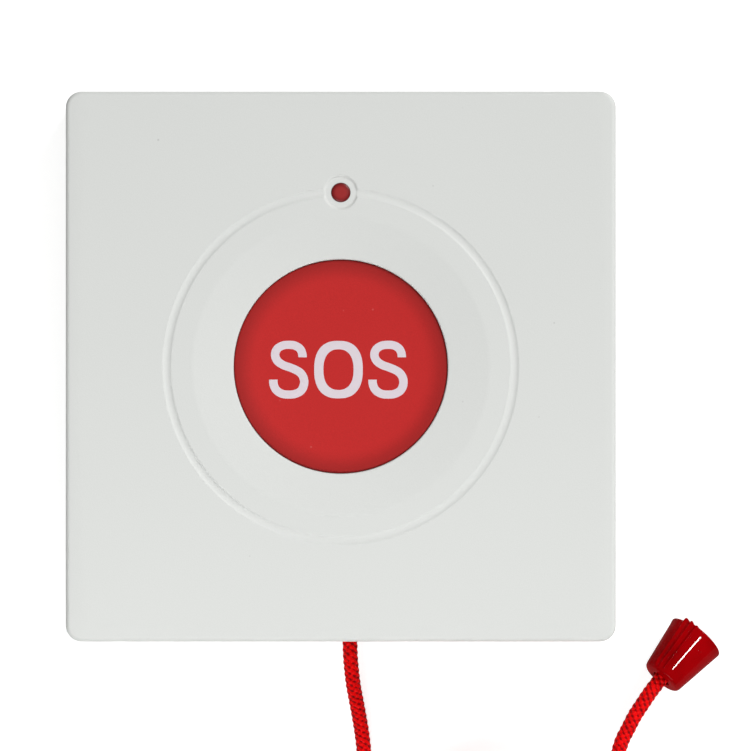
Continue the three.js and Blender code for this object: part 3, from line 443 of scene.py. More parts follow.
class Effects:
    """The shared effects, each a node group that is built once.

    The moulding's scales count waves a metre, and the braid's count them a millimetre.
    """

    WAVE_SCALE = 55.0
    DRIFT_SCALE = 22.0
    UNEVEN_GLOSS = 0.12
    GAP_SHAPE = (0.62, 1.15)
    GAP_INNER = -0.1
    FRAY = 1.7
    FRAY_SCALE = 0.8
    ROUND_MM = 7.2
    FIBRE_STRETCH = (9.0, 1.4)
    FIBRE_SCALE = 1.6
    FIBRE_HEIGHT = 0.25
    ROWS_FROM, COLUMNS_TO, PADS_FROM = 0.45, 0.4, 0.72
    TRACK_HALF = 0.07
    PAD_RADIUS = 0.24

    def __init__(self) -> None:
        """Builds every group."""
        self.moulding = self._moulding()
        self.specks = self._specks()
        self.braid = self._braid()
        self.drawn_wire = self._drawn_wire()
        self.copper_tracks = self._copper_tracks()

    def _start(
        self, name: str, inputs: dict[str, tuple[str, object]], outputs: dict[str, str]
    ) -> tuple[Tree, bpy.types.Node, bpy.types.Node]:
        """An empty group with named inputs and outputs.

        Args:
            name: the group's name.
            inputs: socket kind and default value by name.
            outputs: socket kind by name.
        Returns:
            The tree, its input node and its output node.
        """
        group = bpy.data.node_groups.new(name, "ShaderNodeTree")
        for key, (kind, value) in inputs.items():
            socket = group.interface.new_socket(name=key, in_out="INPUT", socket_type=kind)
            if value is not None:
                socket.default_value = value
        for key, kind in outputs.items():
            group.interface.new_socket(name=key, in_out="OUTPUT", socket_type=kind)
        tree = Tree(group)
        return tree, tree.add("NodeGroupInput"), tree.add("NodeGroupOutput")

    def _moulding(self) -> bpy.types.NodeTree:
        """Moulded plastic: fine spark-eroded grain, a slow wave of the skin and a slow drift of tone."""
        tree, given, out = self._start(
            "moulded_grain",
            {
                "Place": ("NodeSocketVector", None),
                "Grain Scale": ("NodeSocketFloat", 4000.0),
                "Grain Height": ("NodeSocketFloat", 1.0),
                "Wave Height": ("NodeSocketFloat", 0.3),
                "Drift": ("NodeSocketFloat", 0.02),
                "Mottle": ("NodeSocketFloat", 0.02),
            },
            {"Height": "NodeSocketFloat", "Tone": "NodeSocketFloat", "Roughness": "NodeSocketFloat"},
        )
        place = given.outputs["Place"]
        grain = tree.noise(place, given.outputs["Grain Scale"], 3, 0.6)
        wave = tree.noise(place, self.WAVE_SCALE, 1)
        slow = tree.noise(place, self.DRIFT_SCALE, 2)
        height = tree.math("MULTIPLY", grain, given.outputs["Grain Height"])
        height = tree.math("MULTIPLY_ADD", wave, given.outputs["Wave Height"], height)
        tone = tree.math("MULTIPLY_ADD", tree.off_half(slow), given.outputs["Drift"], 1.0)
        fine = tree.math("MULTIPLY_ADD", tree.off_half(grain), given.outputs["Mottle"], tone)
        uneven = tree.math("MULTIPLY_ADD", tree.off_half(wave), self.UNEVEN_GLOSS, 0.0)
        tree.feed(out.inputs["Height"], height)
        tree.feed(out.inputs["Tone"], fine)
        tree.feed(out.inputs["Roughness"], uneven)
        return tree.tree

    def _specks(self) -> bpy.types.NodeTree:
        """Dust and tiny marks: a few cells of a cell pattern hold a dot of their own size."""
        tree, given, out = self._start(
            "specks",
            {
                "Place": ("NodeSocketVector", None),
                "Scale": ("NodeSocketFloat", 350.0),
                "Size": ("NodeSocketFloat", 0.12),
                "Share": ("NodeSocketFloat", 0.2),
            },
            {"Mask": "NodeSocketFloat"},
        )
        cells = tree.add("ShaderNodeTexVoronoi")
        tree.feed(cells.inputs["Vector"], given.outputs["Place"])
        tree.feed(cells.inputs["Scale"], given.outputs["Scale"])
        chance = tree.add("ShaderNodeSeparateColor")
        tree.feed(chance.inputs[0], cells.outputs["Color"])
        chosen = tree.math("LESS_THAN", chance.outputs[0], given.outputs["Share"])
        spread = tree.math("MULTIPLY_ADD", chance.outputs[1], 0.8, 0.2)
        size = tree.math("MULTIPLY", given.outputs["Size"], spread)
        dot = tree.math("SUBTRACT", 1.0, tree.math("DIVIDE", cells.outputs["Distance"], size), clamp=True)
        shown = tree.math("MULTIPLY", dot, chosen)
        tree.feed(out.inputs["Mask"], tree.math("MULTIPLY", shown, chance.outputs[2]))
        return tree.tree

    def _braid(self) -> bpy.types.NodeTree:
        """A braided sheath on a cord: u is the share of a turn and v the way along in millimetres.

        Two families of yarn run at p = 5u + v and q = 5u - v turns of the pattern. Each yarn is round
        across, the upper one changes from cell to cell, and a mask of the gaps stands wherever p and q are
        both whole; the sheath's material fills it with painted shade.
        """
        tree, given, out = self._start(
            "braid",
            {
                "Surface": ("NodeSocketVector", None),
                "Columns": ("NodeSocketFloat", 5.0),
                "Pitch": ("NodeSocketFloat", 1.0),
                "Gap": ("NodeSocketFloat", 0.3),
            },
            {"Height": "NodeSocketFloat", "Gaps": "NodeSocketFloat", "Fibres": "NodeSocketFloat"},
        )
        turns, millimetres = tree.split(given.outputs["Surface"])[:2]
        turn = tree.math("MULTIPLY", turns, given.outputs["Columns"])
        way = tree.math("DIVIDE", millimetres, given.outputs["Pitch"])
        p, q = tree.math("ADD", turn, way), tree.math("SUBTRACT", turn, way)
        near_p, near_q = (tree.off_half(tree.math("FRACT", tree.math("ADD", n, 0.5))) for n in (p, q))
        drawn = zip((near_p, near_q), self.GAP_SHAPE)
        reach = tree.reach(*[tree.math("MULTIPLY", near, factor) for near, factor in drawn])
        spread = tree.add("ShaderNodeCombineXYZ")
        tree.feed(spread.inputs[0], tree.math("MULTIPLY", turns, self.ROUND_MM))
        tree.feed(spread.inputs[1], millimetres)
        fray = tree.noise(spread.outputs[0], self.FRAY_SCALE, 3, 0.7)
        edge = tree.math("MULTIPLY_ADD", tree.off_half(fray), self.FRAY, given.outputs["Gap"])
        inner = tree.math("MULTIPLY", edge, self.GAP_INNER)
        gaps = tree.math("SUBTRACT", 1.0, tree.ramp(reach, inner, edge))
        flanks = [tree.math("MULTIPLY", tree.math("ABSOLUTE", near), 2.0) for near in (near_p, near_q)]
        height = tree.math("MULTIPLY", *(tree.math("SQRT", flank) for flank in flanks))
        combined = tree.add("ShaderNodeCombineXYZ")
        for socket, way_on, factor in zip(combined.inputs, (p, q), self.FIBRE_STRETCH):
            tree.feed(socket, tree.math("MULTIPLY", way_on, factor))
        fibre = tree.noise(combined.outputs[0], self.FIBRE_SCALE, 2)
        tree.feed(out.inputs["Height"], tree.math("MULTIPLY_ADD", fibre, self.FIBRE_HEIGHT, height))
        tree.feed(out.inputs["Gaps"], gaps)
        tree.feed(out.inputs["Fibres"], fibre)
        return tree.tree

    def _drawn_wire(self) -> bpy.types.NodeTree:
        """Drawn or turned metal: a noise that is stretched along one direction, as fine scratches."""
        tree, given, out = self._start(
            "drawn_metal",
            {"Place": ("NodeSocketVector", None), "Scale": ("NodeSocketFloat", 2500.0)},
            {"Height": "NodeSocketFloat", "Roughness": "NodeSocketFloat"},
        )
        mapping = tree.add("ShaderNodeMapping")
        tree.feed(mapping.inputs["Vector"], given.outputs["Place"])
        mapping.inputs["Scale"].default_value = (1.0, 0.12, 1.0)
        scratch = tree.noise(mapping.outputs[0], given.outputs["Scale"], 4, 0.7)
        stain = tree.noise(given.outputs["Place"], 260.0, 2)
        tree.feed(out.inputs["Height"], scratch)
        fine = tree.math("MULTIPLY", scratch, 0.12)
        tree.feed(out.inputs["Roughness"], tree.math("MULTIPLY_ADD", stain, 0.2, fine))
        return tree.tree

    def _copper_tracks(self) -> bpy.types.NodeTree:
        """A circuit board's face: straight tracks from a stepped cell pattern and round pads in a grid."""
        tree, given, out = self._start(
            "board_tracks",
            {"Place": ("NodeSocketVector", None), "Pitch": ("NodeSocketFloat", 0.00254)},
            {"Tracks": "NodeSocketFloat", "Pads": "NodeSocketFloat"},
        )
        pitch = given.outputs["Pitch"]
        x, y = (tree.math("DIVIDE", part, pitch) for part in tree.split(given.outputs["Place"])[:2])
        near_x, near_y = (tree.math("ABSOLUTE", tree.off_half(tree.math("FRACT", n))) for n in (x, y))
        cell = tree.add("ShaderNodeTexWhiteNoise", noise_dimensions="2D")
        whole = tree.add("ShaderNodeCombineXYZ")
        tree.feed(whole.inputs[0], tree.math("FLOOR", x))
        tree.feed(whole.inputs[1], tree.math("FLOOR", y))
        tree.feed(cell.inputs["Vector"], whole.outputs[0])
        chance = cell.outputs["Value"]
        is_row = tree.math("GREATER_THAN", chance, self.ROWS_FROM)
        is_column = tree.math("LESS_THAN", chance, self.COLUMNS_TO)
        rows = tree.math("MULTIPLY", tree.math("LESS_THAN", near_y, self.TRACK_HALF), is_row)
        columns = tree.math("MULTIPLY", tree.math("LESS_THAN", near_x, self.TRACK_HALF), is_column)
        is_round = tree.math("LESS_THAN", tree.reach(near_x, near_y), self.PAD_RADIUS)
        ring = tree.math("MULTIPLY", is_round, tree.math("GREATER_THAN", chance, self.PADS_FROM))
        tree.feed(out.inputs["Tracks"], tree.math("MAXIMUM", rows, columns))
        tree.feed(out.inputs["Pads"], ring)
        return tree.tree


# Finishes


def new_material(name: str) -> tuple[bpy.types.Material, Tree, bpy.types.Node]:
    """An empty material with a Principled BSDF on its output.

    Args:
        name: the material's name.
    Returns:
        The material, its tree and the shader node.
    """
    material = bpy.data.materials.new(name)
    material.use_nodes = True
    material.node_tree.nodes.clear()
    tree = Tree(material.node_tree)
    shader = tree.add("ShaderNodeBsdfPrincipled")
    output = tree.add("ShaderNodeOutputMaterial")
    tree.feed(output.inputs["Surface"], shader.outputs[0])
    return material, tree, shader


@dataclass(frozen=True)
class MouldedPlastic:
    """A moulded plastic with grain, a slow drift of tone, a few dark specks and, where a rim is given, a
    painted shade that darkens it towards that rim.
    """

    name: str
    colour: tuple[float, float, float]
    roughness: float = 0.42
    grain: Grain = Grain.SPARK
    relief: float = 0.06
    drift: float = 0.05
    mottle: float = 0.05
    specks: float = 0.0
    speck_colour: tuple[float, float, float] = (120, 118, 112)
    specular: float = 0.5
    subsurface: float = 0.0
    # A painted shade at the rim: where it is darkest, how far inwards it reaches and its colour.
    rim_shade_radius: float = 0.0
    rim_shade_width: float = 1.0
    rim_shade_colour: tuple[float, float, float] = (0, 0, 0)

    def material(self, effects: Effects) -> bpy.types.Material:
        """Builds the finish.

        Args:
            effects: the shared node groups.
        Returns:
            The material.
        """
        material, tree, shader = new_material(self.name)
        place = tree.here()
        mould = tree.group(
            effects.moulding,
            Place=place,
            Grain_Scale=1 / (self.grain.value * MM),
            Grain_Height=1.0,
            Wave_Height=0.6,
            Drift=self.drift,
            Mottle=self.mottle,
        )
        base: object = linear(*self.colour)
        # Painted shade: towards the rim the colour darkens, standing in for the shade at the edge of a
        # recessed, hollow face.
        if self.rim_shade_radius:
            reach = tree.reach(*tree.split(place)[:2])
            inner = (self.rim_shade_radius - self.rim_shade_width) * MM
            base = tree.mix(tree.ramp(reach, inner, self.rim_shade_radius * MM), base, linear(*self.rim_shade_colour))
        colour: object = tree.scaled(base, mould.outputs["Tone"])
        if self.specks:
            dots = tree.group(effects.specks, Place=place, Scale=420.0, Size=0.11, Share=self.specks)
            colour = tree.mix(dots.outputs["Mask"], colour, linear(*self.speck_colour))
        tree.feed(shader.inputs["Base Color"], colour)
        tree.feed(
            shader.inputs["Roughness"],
            tree.math("ADD", mould.outputs["Roughness"], self.roughness, clamp=True),
        )
        shader.inputs["Specular IOR Level"].default_value = self.specular
        if self.subsurface:
            shader.inputs["Subsurface Weight"].default_value = self.subsurface
            shader.inputs["Subsurface Radius"].default_value = (1.0, 0.95, 0.9)
            shader.inputs["Subsurface Scale"].default_value = 0.0006
        tree.bump(shader, mould.outputs["Height"], 1.0, self.relief * self.grain.value * MM)
        return material


@dataclass(frozen=True)
class GlossPlastic:
    """A polished plastic under a clear skin, such as the knob and the lamp's lens."""

    name: str
    colour: tuple[float, float, float]
    # The darker tone: random patches on the knob, and a painted shade at the rim of a lens.
    deep_tone_and_rim_shade: tuple[float, float, float]
    roughness: float = 0.12
    centre: tuple[float, float] | None = None
    radius: float = 1.45
    coat: float = 0.5
    specular: float = 0.3

    def material(self, effects: Effects) -> bpy.types.Material:
        """Builds the finish. A lens turns from `colour` in its middle to a darker red at its rim, a painted
        shade of its dome's edge; a piece without a centre takes the darker tone in random patches.

        The clear skin is stronger where the piece's own attribute "polish" says so.

        Args:
            effects: the shared node groups.
        Returns:
            The material.
        """
        material, tree, shader = new_material(self.name)
        place = tree.here()
        mould = tree.group(
            effects.moulding, Place=place, Grain_Scale=900.0, Grain_Height=0.2, Wave_Height=1.0, Drift=0.12
        )
        if self.centre is None:
            share = tree.ramp(tree.noise(place, 180.0, 2), 0.35, 0.7)
        else:
            shifted = tree.add("ShaderNodeVectorMath", operation="SUBTRACT")
            tree.feed(shifted.inputs[0], place)
            shifted.inputs[1].default_value = (self.centre[0] * MM, self.centre[1] * MM, 0)
            reach = tree.reach(*tree.split(shifted.outputs[0])[:2])
            # Painted shade: the lens darkens from its middle out to its rim.
            share = tree.ramp(reach, 0.45 * self.radius * MM, self.radius * MM)
        base = tree.mix(share, linear(*self.colour), linear(*self.deep_tone_and_rim_shade))
        tree.feed(shader.inputs["Base Color"], tree.scaled(base, mould.outputs["Tone"]))
        tree.feed(
            shader.inputs["Roughness"],
            tree.math("ADD", mould.outputs["Roughness"], self.roughness, clamp=True),
        )
        shader.inputs["Specular IOR Level"].default_value = self.specular
        polish = tree.add("ShaderNodeAttribute", attribute_name="polish").outputs["Fac"]
        tree.feed(shader.inputs["Coat Weight"], tree.math("MULTIPLY_ADD", polish, 1 - self.coat, self.coat))
        shader.inputs["Coat Roughness"].default_value = 0.05
        tree.bump(shader, mould.outputs["Height"], 0.6, 0.02 * MM)
        return material


@dataclass(frozen=True)
class Metal:
    """A metal with drawn scratches and slight stains."""

    name: str
    colour: tuple[float, float, float]
    roughness: float = 0.3

    def material(self, effects: Effects) -> bpy.types.Material:
        """Builds the finish.

        Args:
            effects: the shared node groups.
        Returns:
            The material.
        """
        material, tree, shader = new_material(self.name)
        place = tree.here()
        drawn = tree.group(effects.drawn_wire, Place=place, Scale=2200.0)
        stain = tree.ramp(tree.noise(place, 330.0, 3), 0.3, 0.75)
        dull = tuple(c * 0.82 for c in self.colour)
        tree.feed(shader.inputs["Base Color"], tree.mix(stain, linear(*self.colour), linear(*dull)))
        tree.feed(
            shader.inputs["Roughness"],
            tree.math("ADD", drawn.outputs["Roughness"], self.roughness - 0.15, clamp=True),
        )
        shader.inputs["Metallic"].default_value = 1.0
        tree.bump(shader, drawn.outputs["Height"], 0.4, 0.02 * MM)
        return material


@dataclass(frozen=True)
class BraidedSheath:
    """The pull cord's woven sheath: bright red yarn, painted shade in the gaps between its crossings and
    painted pink highlights on the yarn.
    """

    name: str = "braided_sheath"
    yarn: tuple[float, float, float] = (252, 0, 2)
    shade: tuple[float, float, float] = (236, 0, 2)
    # gap is a painted shade in the gaps between the yarns, and bright a painted pink highlight on them.
    gap: tuple[float, float, float] = (70, 0, 4)
    bright: tuple[float, float, float] = (255, 84, 90)

    def material(self, effects: Effects) -> bpy.types.Material:
        """Builds the finish on the cord's own surface coordinates.

        Args:
            effects: the shared node groups.
        Returns:
            The material.
        """
        material, tree, shader = new_material(self.name)
        surface = tree.add("ShaderNodeUVMap", uv_map="Along").outputs[0]
        braid = tree.group(effects.braid, Surface=surface, Columns=5.0, Pitch=1.0, Gap=0.46)
        fibres = braid.outputs["Fibres"]
        yarn = tree.mix(tree.ramp(fibres, 0.3, 0.62), linear(*self.shade), linear(*self.yarn))
        # Painted highlight: where the fibre noise is highest, the yarn turns pale pink.
        lit = tree.mix(tree.ramp(fibres, 0.62, 0.78, 0, 0.8), yarn, linear(*self.bright))
        # Painted shade: the gaps between the crossings take the dark gap colour.
        tree.feed(shader.inputs["Base Color"], tree.mix(braid.outputs["Gaps"], lit, linear(*self.gap)))
        tree.feed(shader.inputs["Roughness"], tree.ramp(fibres, 0.2, 0.8, 0.62, 0.42))
        shader.inputs["Specular IOR Level"].default_value = 0.08
        tree.bump(shader, braid.outputs["Height"], 0.9, 0.16 * MM)
        return material


@dataclass(frozen=True)
class BoardLacquer:
    """A circuit board's green lacquer over copper tracks, with bare tinned pads."""

    name: str = "board_lacquer"
    lacquer: tuple[float, float, float] = (28, 92, 52)
    over_copper: tuple[float, float, float] = (52, 128, 70)
    tin: tuple[float, float, float] = (190, 188, 176)

    def material(self, effects: Effects) -> bpy.types.Material:
        """Builds the finish.

        Args:
            effects: the shared node groups.
        Returns:
            The material.
        """
        material, tree, shader = new_material(self.name)
        tracks = tree.group(effects.copper_tracks, Place=tree.here(), Pitch=0.00254)
        green = tree.mix(tracks.outputs["Tracks"], linear(*self.lacquer), linear(*self.over_copper))
        tree.feed(shader.inputs["Base Color"], tree.mix(tracks.outputs["Pads"], green, linear(*self.tin)))
        tree.feed(shader.inputs["Metallic"], tree.math("MULTIPLY", tracks.outputs["Pads"], 0.9))
        tree.feed(shader.inputs["Roughness"], tree.math("MULTIPLY_ADD", tracks.outputs["Pads"], 0.12, 0.3))
        raised = tree.math("MAXIMUM", tracks.outputs["Tracks"], tracks.outputs["Pads"])
        tree.bump(shader, raised, 0.6, 0.04 * MM)
        return material


@dataclass(frozen=True)
class CellSleeve:
    """The battery's printed wrap: one colour with a plain gold band at one end."""

    name: str = "cell_sleeve"
    wrap: tuple[float, float, float] = (40, 58, 60)
    band: tuple[float, float, float] = (196, 152, 74)
    band_from_y: float = -14.5

    def material(self, effects: Effects) -> bpy.types.Material:
        """Builds the finish.

        Args:
            effects: the shared node groups.
        Returns:
            The material.
        """
        material, tree, shader = new_material(self.name)
        place = tree.here()
        share = tree.math("GREATER_THAN", tree.split(place)[1], self.band_from_y * MM)
        mould = tree.group(
            effects.moulding, Place=place, Grain_Scale=1500.0, Grain_Height=0.3, Wave_Height=1.0, Drift=0.1
        )
        base = tree.mix(share, linear(*self.wrap), linear(*self.band))
        tree.feed(shader.inputs["Base Color"], tree.scaled(base, mould.outputs["Tone"]))
        tree.feed(shader.inputs["Metallic"], tree.math("MULTIPLY", share, 0.7))
        tree.feed(shader.inputs["Roughness"], tree.math("ADD", mould.outputs["Roughness"], 0.32))
        return material


class Palette:
    """Every finish of the alarm, by the record's material slot."""

    def __init__(self) -> None:
        """Builds the shared effects and one material for each slot."""
        effects = Effects()
        white = (224, 226, 223)
        self.by_slot: dict[str, bpy.types.Material] = {
            finish_slot: finish.material(effects)
            for finish_slot, finish in {
                "plate_white": MouldedPlastic(
                    "plate_white",
                    white,
                    roughness=0.5,
                    relief=0.05,
                    drift=0.02,
                    mottle=0.07,
                    specks=0.06,
                    specular=0.35,
                ),
                "base_white": MouldedPlastic("base_white", (214, 215, 211), roughness=0.55, drift=0.04),
                "button_red": MouldedPlastic(
                    "button_red",
                    (196, 38, 37),
                    roughness=0.5,
                    relief=0.07,
                    drift=0.06,
                    mottle=0.28,
                    specks=0.2,
                    speck_colour=(214, 96, 92),
                    specular=0.25,
                    # Painted shade: the button darkens within 3.6 mm of its edge, where it sits recessed
                    # under the aperture's lip.
                    rim_shade_radius=16.71,
                    rim_shade_width=3.6,
                    rim_shade_colour=(162, 30, 29),
                ),
                # Painted shade: the lens darkens towards its rim.
                "lens_red": GlossPlastic(
                    "lens_red",
                    (158, 42, 42),
                    (112, 8, 12),
                    roughness=0.34,
                    centre=(0, 27.2),
                    radius=1.48,
                    coat=0.1,
                ),
                "knob_red": GlossPlastic(
                    "knob_red", (158, 0, 5), (134, 0, 3), roughness=0.22, coat=0.1, specular=0.0
                ),
                "cord_red": BraidedSheath(),
                "board_green": BoardLacquer(),
                "switch_black": MouldedPlastic("switch_black", (34, 35, 37), roughness=0.4, drift=0.3),
                "spacer_white": MouldedPlastic("spacer_white", (226, 215, 222), roughness=0.5, drift=0.03),
                "acetal_ivory": MouldedPlastic(
                    "acetal_ivory", (232, 228, 212), roughness=0.32, grain=Grain.SATIN, drift=0.04
                ),
                "spring_steel": Metal("spring_steel", (168, 168, 166), 0.28),
                "screw_steel": Metal("screw_steel", (186, 184, 178), 0.34),
                "nickel": Metal("nickel", (196, 190, 176), 0.25),
                "copper": Metal("copper", (196, 122, 84), 0.3),
                "cell_gold": Metal("cell_gold", (206, 170, 96), 0.35),
                "sleeve_blue": CellSleeve(),
            }.items()
        }

    def __getitem__(self, finish_slot: str) -> bpy.types.Material:
        """The material of a slot."""
        return self.by_slot[finish_slot]


# The camera


@dataclass
class PhotoCamera:
    """The photograph's long, square-on view from in front of the plate."""

    x: float = 5.35
    y: float = -1.4
    distance: float = 1200.0
    front_z: float = 20.0
    view_height: float = 117.35
    clip: tuple[float, float] = (50.0, 20000.0)

    def build(self) -> bpy.types.Object:
        """Makes the camera: lens = sensor width x distance / view height."""
        data = bpy.data.cameras.new("photo_camera")
        data.sensor_width = SENSOR_WIDTH
        data.lens = SENSOR_WIDTH * self.distance / self.view_height
        data.clip_start, data.clip_end = (end * MM for end in self.clip)
        camera = bpy.data.objects.new("photo_camera", data)
        camera.location = (self.x * MM, self.y * MM, (self.front_z + self.distance) * MM)
        bpy.context.scene.collection.objects.link(camera)
        bpy.context.scene.camera = camera
        return camera


# The pull cord and its knob


@dataclass
class KnobAxis:
    """Where the pull knob lies: its narrow end and the turns that lay it down."""

    end: tuple[float, float, float] = (50.5, -49.3, 6.893)
    heading: float = 49.0
    tilt: float = 15.0

    def matrix(self) -> np.ndarray:
        """The turn from the knob's own frame: first 90 + tilt about Y, then the heading about Z."""
        a, b = math.radians(self.heading), math.radians(90 + self.tilt)
        about_z = np.array([[math.cos(a), -math.sin(a), 0], [math.sin(a), math.cos(a), 0], [0, 0, 1]])
        about_y = np.array([[math.cos(b), 0, math.sin(b)], [0, 1, 0], [-math.sin(b), 0, math.cos(b)]])
        return about_z @ about_y

    def along(self, t: float) -> tuple[float, float, float]:
        """The point t along the axis from the narrow end."""
        return tuple(np.array(self.end) + t * self.matrix()[:, 2])


@dataclass
class PullKnob:
    """The tapered knob with its cavity, moulding line and ribs, and the cord's stopper knot."""

    axis: KnobAxis = field(default_factory=KnobAxis)
    length: float = 9.2
    narrow_r: float = 3.3
    wide_r: float = 4.65
    edge: float = 0.9
    cavity_r: float = 2.8
    cavity_depth: float = 4.2
    bore_r: float = 1.5
    rib_angles: tuple[float, ...] = (137.0, 151.0, 165.0)
    rib_height: float = 0.34
    rib_width: float = 4.4
    rib_reach: float = 0.26
    rib_reaches: tuple[float, ...] = (1.0, 0.9, 0.35)
    rib_power: float = 1.2
    seam_angle: float = 184.0
    seam_half: float = 1.7
    seam_soft: float = 1.2
    seam_height: float = 0.05
    gate: tuple[float, float] = (203.7, 6.5)
    gate_size: tuple[float, float] = (4.6, 0.35)
    gate_fall: float = 1.6
    gate_height: float = 0.16
    plain_from: float = 66.0
    plain_soft: tuple[float, float] = (22.0, 8.0)
    plain_depth: float = 0.34
    flank_rows: int = 72
    angle_spans: tuple[tuple[float, float, float], ...] = ((0, 360, 1.25), (177, 191, 0.4), (132, 171, 0.8))

    def outer(self, t: float) -> float:
        """The outside radius at t from the narrow end, on a straight taper."""
        return self.narrow_r + (self.wide_r - self.narrow_r) * t / self.length

    def outline(self) -> tuple[np.ndarray, np.ndarray]:
        """The closed section, with many points on its flank for the ribs and the seam.

        Returns:
            Rows of (r, z), and whether each of them lies on the flank.
        """
        top, end = self.length - self.cavity_depth, self.length
        base = rounded_profile(
            [
                (self.bore_r, 0.25, 0),
                (self.bore_r, 0.0, 0.2),
                (self.outer(0) - 0.05, 0.0, self.edge),
                (self.outer(end), end, 0.3),
                (self.cavity_r, end, 0.25),
                (self.cavity_r, top, 0.5),
                (self.bore_r, top - 0.4, 0.15),
                (self.bore_r, 0.25, 0),
            ],
            7,
        )[:-1]
        on_flank = (base[:, 0] > self.outer(0) - 0.4) & (base[:, 1] < end - 0.001)
        first, last = np.flatnonzero(on_flank)[[0, -1]]
        flank = base[first : last + 1]
        flank = flank[np.argsort(flank[:, 1])]
        height = np.linspace(base[first, 1], base[last, 1], self.flank_rows)[1:-1]
        between = np.stack([np.interp(height, flank[:, 1], flank[:, 0]), height], -1)
        merged = np.concatenate([flank, between])
        merged = merged[np.argsort(merged[:, 1], kind="stable")]
        profile = np.concatenate([base[:first], merged, base[last + 1 :]])
        is_outside = np.zeros(len(profile), bool)
        is_outside[first : first + len(merged)] = True
        return profile, is_outside

    def skin(self) -> tuple[Surface, np.ndarray]:
        """Profile turned about the axis, with ribs: bump(t, a) = h f(t) times a sum of ridges in a.

        Each ridge is a power of a cosine across the rib. Near the wide rim the ribs also reach on
        along the axis, and the rim between them and the far side stands back a little. A low nub
        of the shape exp(-d^2) marks where the mould was filled. The seam is a narrow flat, which
        r (1 / cos d - 1) makes of the round, and it is more polished than the rest.

        Returns:
            The closed skin, and how polished each of its points is.
        """
        profile, is_outside = self.outline()
        t, end = profile[:, 1], self.length
        angle = np.concatenate([np.arange(*span) for span in self.angle_spans])
        angle = np.unique(np.round(angle, 2))
        ridges, reaches = np.zeros(len(angle)), np.zeros(len(angle))
        for at, share in zip(self.rib_angles, self.rib_reaches):
            rib = np.cos(np.clip((angle - at) / self.rib_width, -1, 1) * np.pi / 2) ** self.rib_power
            ridges, reaches = ridges + rib, reaches + share * rib
        off = np.radians(np.abs(angle - self.seam_angle))
        side = smooth_step((self.seam_half + self.seam_soft - np.degrees(off)) / self.seam_soft)
        flat = 1 / np.cos(np.minimum(off, np.radians(self.seam_half))) - 1
        fade = smooth_step((t - 0.45) / 0.8) * smooth_step((end + 0.1 - t) / 0.25) * is_outside
        over = (angle[None] - self.gate[0]) / self.gate_size[0]
        along = (t[:, None] - self.gate[1]) / self.gate_size[1]
        nub = self.gate_height * np.exp(-self.gate_fall * (over**2 + along**2)) * is_outside[:, None]
        seam = self.seam_height * side[None] + profile[:, :1] * flat[None] * side[None]
        short = smooth_step((t - 0.9) / 0.5) * smooth_step((end - 0.5 - t) / 0.4)
        bumps = fade[:, None] * ridges[None] * self.rib_height + (short * fade)[:, None] * seam + nub
        before, after = self.plain_soft
        plain = smooth_step((angle - self.plain_from) / before)
        plain = plain * smooth_step((self.rib_angles[0] + 2 - angle) / after)
        rim = smooth_step((t - (end - 1.6)) / 1.5)
        lifts = rim[:, None] * (reaches * self.rib_reach - plain * self.plain_depth)[None]
        crest = (np.degrees(off) < self.seam_half + 0.1)[None] * (short * is_outside > 0.9)[:, None]
        return revolved(profile, np.radians(angle), bumps, lifts), crest.reshape(-1).astype(float)

    def knot_skin(self, across: float = 2.35, half: float = 1.5) -> Surface:
        """A lumpy overhand knot: an ellipsoid whose radius waves with both of its angles."""
        rise = np.linspace(-np.pi / 2, np.pi / 2, 26)[:, None]
        turn = np.linspace(0, 2 * np.pi, 48, endpoint=False)[None]
        lumps = 1 + 0.09 * np.cos(2 * turn + 3 * rise) - 0.07 * np.abs(np.sin(1.5 * turn - 2 * rise))
        wide = across * np.cos(rise) * lumps
        grid = np.stack([wide * np.cos(turn), wide * np.sin(turn), half * np.sin(rise) + 0 * turn], -1)
        grid[0], grid[-1] = (0, 0, -half), (0, 0, half)
        return closed_grid(grid[1:-1], False, True)

    def build(self, palette: Palette) -> list[bpy.types.Object]:
        """Makes the knob and the knot inside it.

        Args:
            palette: the finishes.
        Returns:
            The two pieces, both on the pull body.
        """
        turn, end = self.axis.matrix(), np.array(self.axis.end)
        bell, polish = self.skin()
        knob = mesh_object("pull_knob_bell", bell.moved(turn, end), palette["knob_red"], 50, polish)
        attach(knob, Body.PULL.value)
        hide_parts("pull_knob")
        low, high = (np.array(v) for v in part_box("knob_knot"))
        middle = (low + high) / 2 / MM
        knot = self.knot_skin().moved(turn, middle)
        stopper = mesh_object("knob_stopper_knot", knot, palette["knob_red"], 80)
        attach(stopper, Body.PULL.value)
        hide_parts("knob_knot")
        return [knob, stopper]


